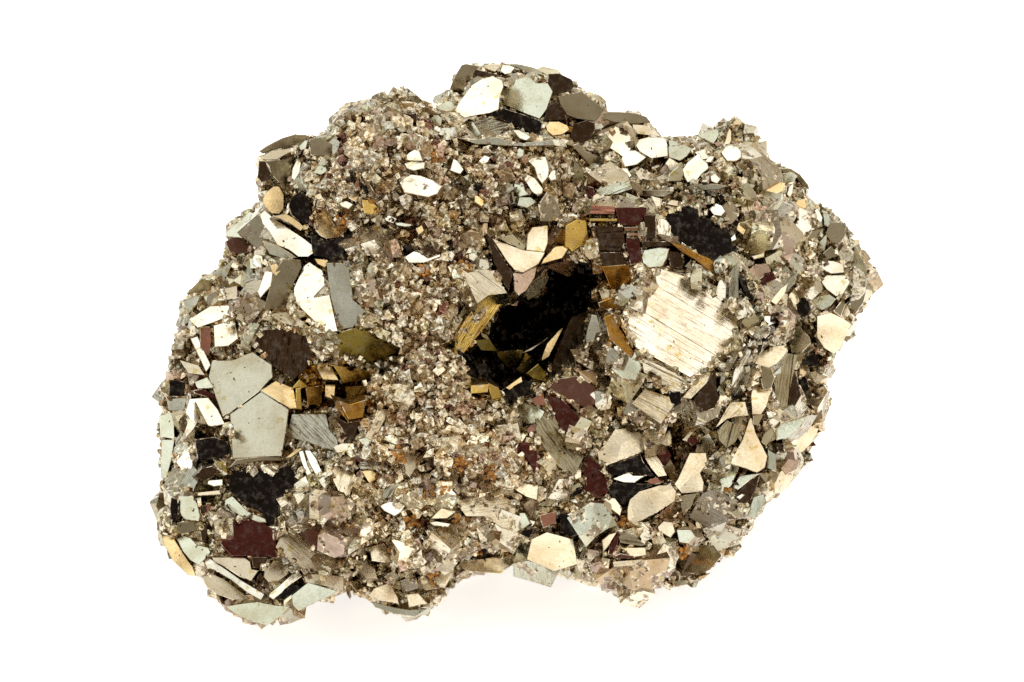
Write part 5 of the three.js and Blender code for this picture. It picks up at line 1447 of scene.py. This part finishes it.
def hollowness(piece, chance):
    """For each point of a piece, the share of short outward rays that meet stone."""
    mesh = piece.data
    tree = BVHTree.FromPolygons([v.co for v in mesh.vertices], [face.vertices for face in mesh.polygons])
    ways = [Vector(way).normalized() for way in chance.normal(0, 1, (HOLLOW_RAYS, 3))]
    shares = []
    for vertex in mesh.vertices:
        start = vertex.co + vertex.normal * RAY_START * MM
        met = 0
        for way in ways:
            outward = way if way.dot(vertex.normal) > 0 else -way
            raised = (outward + vertex.normal * RAY_LIFT).normalized()
            met += tree.ray_cast(start, raised, HOLLOW_REACH)[0] is not None
        shares.append(met / HOLLOW_RAYS)
    return np.array(shares)


def finish_mass(chance):
    """Stores film, hollow and rust on the mass."""
    mesh = mass.data
    points = read_points(mass)
    hollow = hollowness(mass, chance)
    u, v = seen_at(points)
    normals = np.array([vertex.normal for vertex in mesh.vertices])
    front = facing_eye(points, normals)
    rust = np.zeros(len(points))
    for u0, v0 in RUST_SPOTS:
        rust = np.maximum(rust, np.exp(-((u - u0) ** 2 + (v - v0) ** 2) / RUST_SPREAD ** 2) * front)
    for name, values in (("hollow", hollow), ("rust", rust)):
        mesh.attributes.new(name, "FLOAT", "POINT").data.foreach_set("value", values)
    centres = np.array([face.center for face in mesh.polygons])
    ways = np.array([face.normal for face in mesh.polygons])
    mixes = mixes_at(centres, ways)
    films = [drawn_film(mix, centre, chance) for mix, centre in zip(mixes, centres)]
    set_face_values(mesh, "film", "FLOAT_COLOR", films)
    print("hollow: mean", round(hollow.mean(), 2), "rusty points:", int((rust > RUSTY).sum()))


finish_mass(np.random.RandomState(13))
bpy.data.objects.remove(root_stone)

# %% [markdown]
# ## Pyrite
#
# Pyrite is an opaque metal-bright sulphide, so its shader is fully metallic: colour lives in the
# reflection, and the default index of refraction stays. Its own colour is a pale brass. Three things keep
# it from looking like chrome. Each face has its film, read from the piece. A face is a mosaic of
# sub-crystals that lean a degree or two apart, drawn as a Voronoi pattern that tips the normal cell by
# cell. And growth lines run along it: noise stretched along one axis of the millimetre map and fed to a
# bump. On the faces the colour is also darkened along the furrows of those lines and in small spots that
# stand for pits: painted shade of grooves and pits.

# %% One function for every node
def put(tree, kind, sockets, **settings):
    """Adds a node with its settings; a socket takes a value, or a link when given another socket."""
    node = tree.nodes.new("ShaderNode" + kind)
    for name, value in settings.items():
        setattr(node, name, value)
    for name, value in sockets.items():
        if isinstance(value, bpy.types.NodeSocket):
            tree.links.new(value, node.inputs[name])
        else:
            node.inputs[name].default_value = value
    return node


def new_material(name):
    """An empty material and its tree."""
    material = bpy.data.materials.new(name)
    material.use_nodes = True
    material.node_tree.nodes.clear()
    return material, material.node_tree


# %% Pyrite, as faces and as druse
PER_MM = 1000
MIX_RESULT = 2


def tipped_normal(tree, place, mosaics, start=None):
    """A normal that leans its own way in each cell of a mosaic, for each cell size in mm and lean."""
    normal = start or put(tree, "NewGeometry", {}).outputs["Normal"]
    for cell_mm, tip in mosaics:
        cells = put(tree, "TexVoronoi", {"Vector": place, "Scale": PER_MM / cell_mm}).outputs["Color"]
        centred = put(tree, "VectorMath", {0: cells, 1: (0.5, 0.5, 0.5)}, operation="SUBTRACT").outputs[0]
        lean = put(tree, "VectorMath", {0: centred, "Scale": tip}, operation="SCALE").outputs[0]
        normal = put(tree, "VectorMath", {0: normal, 1: lean}, operation="ADD").outputs[0]
    return put(tree, "VectorMath", {0: normal}, operation="NORMALIZE").outputs[0]


def wavy_normal(tree, place, wave_mm, sway):
    """A normal that sways gently over a few millimetres, as a face that did not grow quite flat."""
    waves = put(tree, "TexNoise", {"Vector": place, "Scale": PER_MM / wave_mm, "Detail": 1.0})
    waves = waves.outputs["Color"]
    centred = put(tree, "VectorMath", {0: waves, 1: (0.5, 0.5, 0.5)}, operation="SUBTRACT").outputs[0]
    lean = put(tree, "VectorMath", {0: centred, "Scale": sway}, operation="SCALE").outputs[0]
    level = put(tree, "NewGeometry", {}).outputs["Normal"]
    return put(tree, "VectorMath", {0: level, 1: lean}, operation="ADD").outputs[0]


def mixed(tree, blend, share, first, second):
    """Two colours mixed."""
    node = put(tree, "Mix", {0: share, 6: first, 7: second}, data_type="RGBA", blend_type=blend)
    return node.outputs[MIX_RESULT]


def specks(tree, place, size_mm, detail, roughness=0.5):
    """Noise whose blotches are about that many millimetres across."""
    sockets = {"Vector": place, "Scale": PER_MM / size_mm, "Detail": detail, "Roughness": roughness}
    return put(tree, "TexNoise", sockets).outputs[0]


def stepped(tree, value, low, high, new_low=0.0, new_high=1.0):
    """A value stretched from one range to another and held there."""
    sockets = {"Value": value, "From Min": low, "From Max": high, "To Min": new_low, "To Max": new_high}
    return put(tree, "MapRange", sockets).outputs[0]


def pyrite_faces():
    """Pyrite on crystal faces: mirror mosaic, growth lines with painted shade in their furrows, pits drawn
    only as painted shade, and a grainy crust in places.
    """
    material, tree = new_material("pyrite_crystal_faces")
    place = put(tree, "TexCoord", {}).outputs["Object"]
    film = put(tree, "Attribute", {}, attribute_name="film").outputs["Color"]
    lines = put(tree, "Attribute", {}, attribute_name="lines").outputs["Fac"]
    crusty = put(tree, "Attribute", {}, attribute_name="crusty").outputs["Fac"]
    line_map = put(tree, "UVMap", {}, uv_map="growth_lines").outputs[0]
    stretched = put(tree, "Mapping", {"Vector": line_map, "Scale": (0.12, 1.0, 1.0)}).outputs[0]
    ridges = put(tree, "TexNoise", {"Vector": stretched, "Scale": 4.6, "Detail": 4.0, "Roughness": 0.66})
    ridges = ridges.outputs[0]
    fine = specks(tree, place, 0.2, 3.0)
    blotches = specks(tree, place, 1.5, 5.0, 0.62)
    roughened = put(tree, "Math", {0: blotches, 1: crusty}, operation="ADD").outputs[0]
    crust = stepped(tree, roughened, 0.74, 0.8)
    # Pits are drawn only as small darkened spots: a painted shade of pits.
    pit_shade = stepped(tree, specks(tree, place, 0.42, 2.0), 0.69, 0.74)
    # The furrows between growth lines are darkened in the colour: a painted shade in the grooves.
    furrows = stepped(tree, ridges, 0.36, 0.5, 1.0, 0.0)
    furrow_shade = put(tree, "Math", {0: furrows, 1: lines}, operation="MULTIPLY").outputs[0]
    furrow_shaded = mixed(tree, "MULTIPLY", furrow_shade, film, linear("#8E775C") + (1,))
    age = stepped(tree, specks(tree, place, 2.6, 3.0), 0.42, 0.68, 0.0, 0.5)
    aged = mixed(tree, "MULTIPLY", age, furrow_shaded, linear("#C9B48E") + (1,))
    grains = put(tree, "TexVoronoi", {"Vector": place, "Scale": PER_MM / 0.26}).outputs["Color"]
    grain_tone = stepped(tree, put(tree, "SeparateColor", {"Color": grains}).outputs[0], 0.0, 1.0)
    crust_colour = mixed(tree, "MIX", grain_tone, linear("#7B6455") + (1,), linear("#E6D8BC") + (1,))
    crusted = mixed(tree, "MIX", crust, aged, crust_colour)
    pit_shaded = mixed(tree, "MULTIPLY", pit_shade, crusted, linear("#6E5A44") + (1,))
    patches = stepped(tree, specks(tree, place, 6.0, 1.0), 0.5, 0.56)
    spots = stepped(tree, specks(tree, place, 0.55, 1.0), 0.62, 0.68, 0.0, 0.6)
    spotted = put(tree, "Math", {0: patches, 1: spots}, operation="MULTIPLY").outputs[0]
    tarnished = mixed(tree, "MULTIPLY", spotted, pit_shaded, linear("#D8C860") + (1,))
    dust = stepped(tree, specks(tree, place, 0.5, 6.0, 0.72), 0.5, 0.72, 0.0, 0.5)
    speckled = mixed(tree, "LIGHTEN", dust, tarnished, (0.34, 0.32, 0.3, 1))
    clean = tipped_normal(tree, place, [(1.3, 0.04)], wavy_normal(tree, place, 3.2, 0.16))
    rough = tipped_normal(tree, place, [(0.26, 0.75)])
    normal = put(tree, "Mix", {0: crust, 4: clean, 5: rough}, data_type="VECTOR").outputs[1]
    fine_bump = put(tree, "Bump", {"Strength": 0.22, "Distance": 0.02 * MM, "Height": fine,
                                   "Normal": normal})
    line_bump = put(tree, "Bump", {"Strength": lines, "Distance": 0.05 * MM, "Height": ridges,
                                   "Normal": fine_bump.outputs[0]})
    gloss = stepped(tree, fine, 0.3, 0.75, 0.14, 0.32)
    shader = put(tree, "BsdfPrincipled", {"Base Color": speckled, "Metallic": 1.0, "Roughness": gloss,
                                          "Normal": line_bump.outputs[0]})
    put(tree, "OutputMaterial", {"Surface": shader.outputs[0]})
    return material


def pyrite_druse(name, on_mass):
    """Pyrite as small grains: every fraction of a millimetre leans its own way."""
    material, tree = new_material(name)
    place = put(tree, "TexCoord", {}).outputs["Object"]
    film = put(tree, "Attribute", {}, attribute_name="film").outputs["Color"]
    cells = put(tree, "TexVoronoi", {"Vector": place, "Scale": PER_MM / 0.24}).outputs["Color"]
    shade = put(tree, "SeparateColor", {"Color": cells}).outputs[0]
    brown = mixed(tree, "MULTIPLY", 1.0, film, linear("#DFD0BA") + (1,))
    colour = mixed(tree, "MIX", stepped(tree, shade, 0.1, 0.8), brown, film)
    fine = specks(tree, place, 0.16, 3.0)
    crumpled = tipped_normal(tree, place, [(0.8, 0.3), (0.26, 0.4)], wavy_normal(tree, place, 0.5, 1.1))
    bump = put(tree, "Bump", {"Strength": 0.6, "Distance": 0.04 * MM, "Height": fine, "Normal": crumpled})
    gloss = stepped(tree, fine, 0.3, 0.75, 0.14, 0.36)
    sockets = {"Base Color": colour, "Metallic": 1.0, "Roughness": gloss, "Normal": bump.outputs[0]}
    if on_mass:
        hollow = put(tree, "Attribute", {}, attribute_name="hollow").outputs["Fac"]
        rust = put(tree, "Attribute", {}, attribute_name="rust").outputs["Fac"]
        # Darker and browner where the point lies hollow: a painted shade in the crevices.
        crevice_shaded = mixed(tree, "MULTIPLY", stepped(tree, hollow, 0.25, 0.85), colour, linear("#7A5A38") + (1,))
        blotches = specks(tree, place, 0.8, 4.0)
        stain = put(tree, "Math", {0: rust, 1: blotches}, operation="MULTIPLY").outputs[0]
        rusty = stepped(tree, stain, 0.2, 0.36)
        sockets["Base Color"] = mixed(tree, "MIX", rusty, crevice_shaded, linear("#BE7A2A") + (1,))
        sockets["Metallic"] = put(tree, "Math", {0: 1.0, 1: rusty}, operation="SUBTRACT").outputs[0]
    shader = put(tree, "BsdfPrincipled", sockets)
    put(tree, "OutputMaterial", {"Surface": shader.outputs[0]})
    return material


# %% Limonite
def limonite():
    """Earthy hydrated iron oxide: matt, orange to brown."""
    material, tree = new_material("limonite")
    place = put(tree, "TexCoord", {}).outputs["Object"]
    film = put(tree, "Attribute", {}, attribute_name="film").outputs["Color"]
    grit = put(tree, "TexNoise", {"Vector": place, "Scale": PER_MM / 0.12, "Detail": 3.0}).outputs[0]
    earth = mixed(tree, "MULTIPLY", grit, film, linear("#A8703C") + (1,))
    bump = put(tree, "Bump", {"Strength": 0.6, "Distance": 0.03 * MM, "Height": grit}).outputs[0]
    shader = put(tree, "BsdfPrincipled", {"Base Color": earth, "Roughness": 0.8, "Normal": bump})
    put(tree, "OutputMaterial", {"Surface": shader.outputs[0]})
    return material


def dress(piece, material):
    """Gives a piece its only material."""
    piece.data.materials.clear()
    piece.data.materials.append(material)


faces_metal = pyrite_faces()
dress(crystal_blocks, faces_metal)
for piece in crystals:
    dress(piece, faces_metal)
druse_metal = pyrite_druse("pyrite_druse", False)
for piece in druse:
    dress(piece, druse_metal)
dress(mass, pyrite_druse("pyrite_mass", True))
dress(crumbs, limonite())
print("materials:", sorted(material.name for material in bpy.data.materials))

# %% [markdown]
# ## Floor and light
#
# The stone stands on a pale lit table. Metal shows nothing but its surroundings, so the studio is built for
# the reflections: a large cool softbox overhead, a warm one on the right, a pale one on the left, one more
# behind, and a room that is dim brown-grey in front, where the camera is. That dim part makes the dark half
# of the sparkle. Area lights and a room of one colour ramp do it; a picture of a room would add nothing.

# %% Floor
FLOOR_SIZE = 3.0
fresh_start()
bpy.ops.mesh.primitive_plane_add(size=FLOOR_SIZE, location=(0, 0, -0.02 * MM))
floor = bpy.context.object
floor.name = "pale_table"
opal, tree = new_material("opal_acrylic_table")
shader = put(tree, "BsdfPrincipled", {"Base Color": (0.92, 0.92, 0.92, 1), "Roughness": 0.6,
                                      "Emission Color": (1, 1, 1, 1), "Emission Strength": 0.7})
put(tree, "OutputMaterial", {"Surface": shader.outputs[0]})
dress(floor, opal)


# %% Softboxes
def softbox(name, way, distance, width, height, brightness, colour):
    """A soft area light that looks at the stone, as bright as asked whatever its size."""
    place = Vector(way).normalized() * distance
    fresh_start()
    bpy.ops.object.light_add(type="AREA", location=place + MIDDLE)
    light = bpy.context.object
    light.name = name
    light.data.shape = "RECTANGLE"
    light.data.size, light.data.size_y = width, height
    light.data.energy = brightness * math.pi * width * height
    light.data.color = colour
    light.rotation_euler = (-place).to_track_quat("-Z", "Y").to_euler()


softbox("overhead_softbox", (-0.25, 0.1, 1), 0.5, 0.5, 0.42, 0.8, (0.98, 0.99, 1.0))
softbox("right_softbox", (0.55, -0.25, 0.8), 0.5, 0.26, 0.3, 0.84, (1.0, 0.95, 0.86))
softbox("left_softbox", (-0.78, -0.4, 0.5), 0.5, 0.22, 0.34, 0.78, (0.99, 1.0, 0.96))
softbox("back_softbox", (0.2, 1, 0.55), 0.6, 0.5, 0.26, 0.86, (1.0, 0.98, 0.95))


# %% The room
def room():
    """A room brighter overhead and at the back, dim brown-grey in front."""
    world = bpy.data.worlds.new("studio_room")
    bpy.context.scene.world = world
    world.use_nodes = True
    tree = world.node_tree
    tree.nodes.clear()
    way = put(tree, "TexCoord", {}).outputs["Generated"]
    height = put(tree, "SeparateXYZ", {"Vector": way}).outputs[2]
    raised = put(tree, "MapRange", {"Value": height, "From Min": -0.2, "From Max": 0.9}).outputs[0]
    walls = mixed(tree, "MIX", raised, (0.5, 0.465, 0.4, 1), (0.86, 0.87, 0.85, 1))
    side = put(tree, "SeparateXYZ", {"Vector": way}).outputs[0]
    warm = put(tree, "MapRange", {"Value": side, "From Min": -0.8, "From Max": 0.8}).outputs[0]
    tinted = mixed(tree, "MULTIPLY", 1.0, walls,
                   mixed(tree, "MIX", warm, (0.94, 1.0, 0.99, 1), (1.0, 0.92, 0.8, 1)))
    front = put(tree, "VectorMath", {0: way, 1: TOWARDS}, operation="DOT_PRODUCT").outputs["Value"]
    dim = put(tree, "MapRange", {"Value": front, "From Min": 0.72, "From Max": 0.93},
              interpolation_type="SMOOTHSTEP").outputs[0]
    shaded = mixed(tree, "MIX", dim, tinted, (0.4, 0.345, 0.28, 1))
    light = put(tree, "Background", {"Color": shaded, "Strength": 1.0})
    put(tree, "OutputWorld", {"Surface": light.outputs[0]})


room()
bpy.context.scene.view_settings.view_transform = "Standard"

# %% [markdown]
# ## Tying the pieces to the imported cluster
#
# The cluster is one rigid body and grew as one solid, so every piece rides on its body and stands in for the
# one imported node, which is hidden.

# %% Ride and replace
pieces = [mass, crystal_blocks, crumbs] + crystals + druse
for piece in pieces:
    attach(piece, "root")
    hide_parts("pyrite_cluster")

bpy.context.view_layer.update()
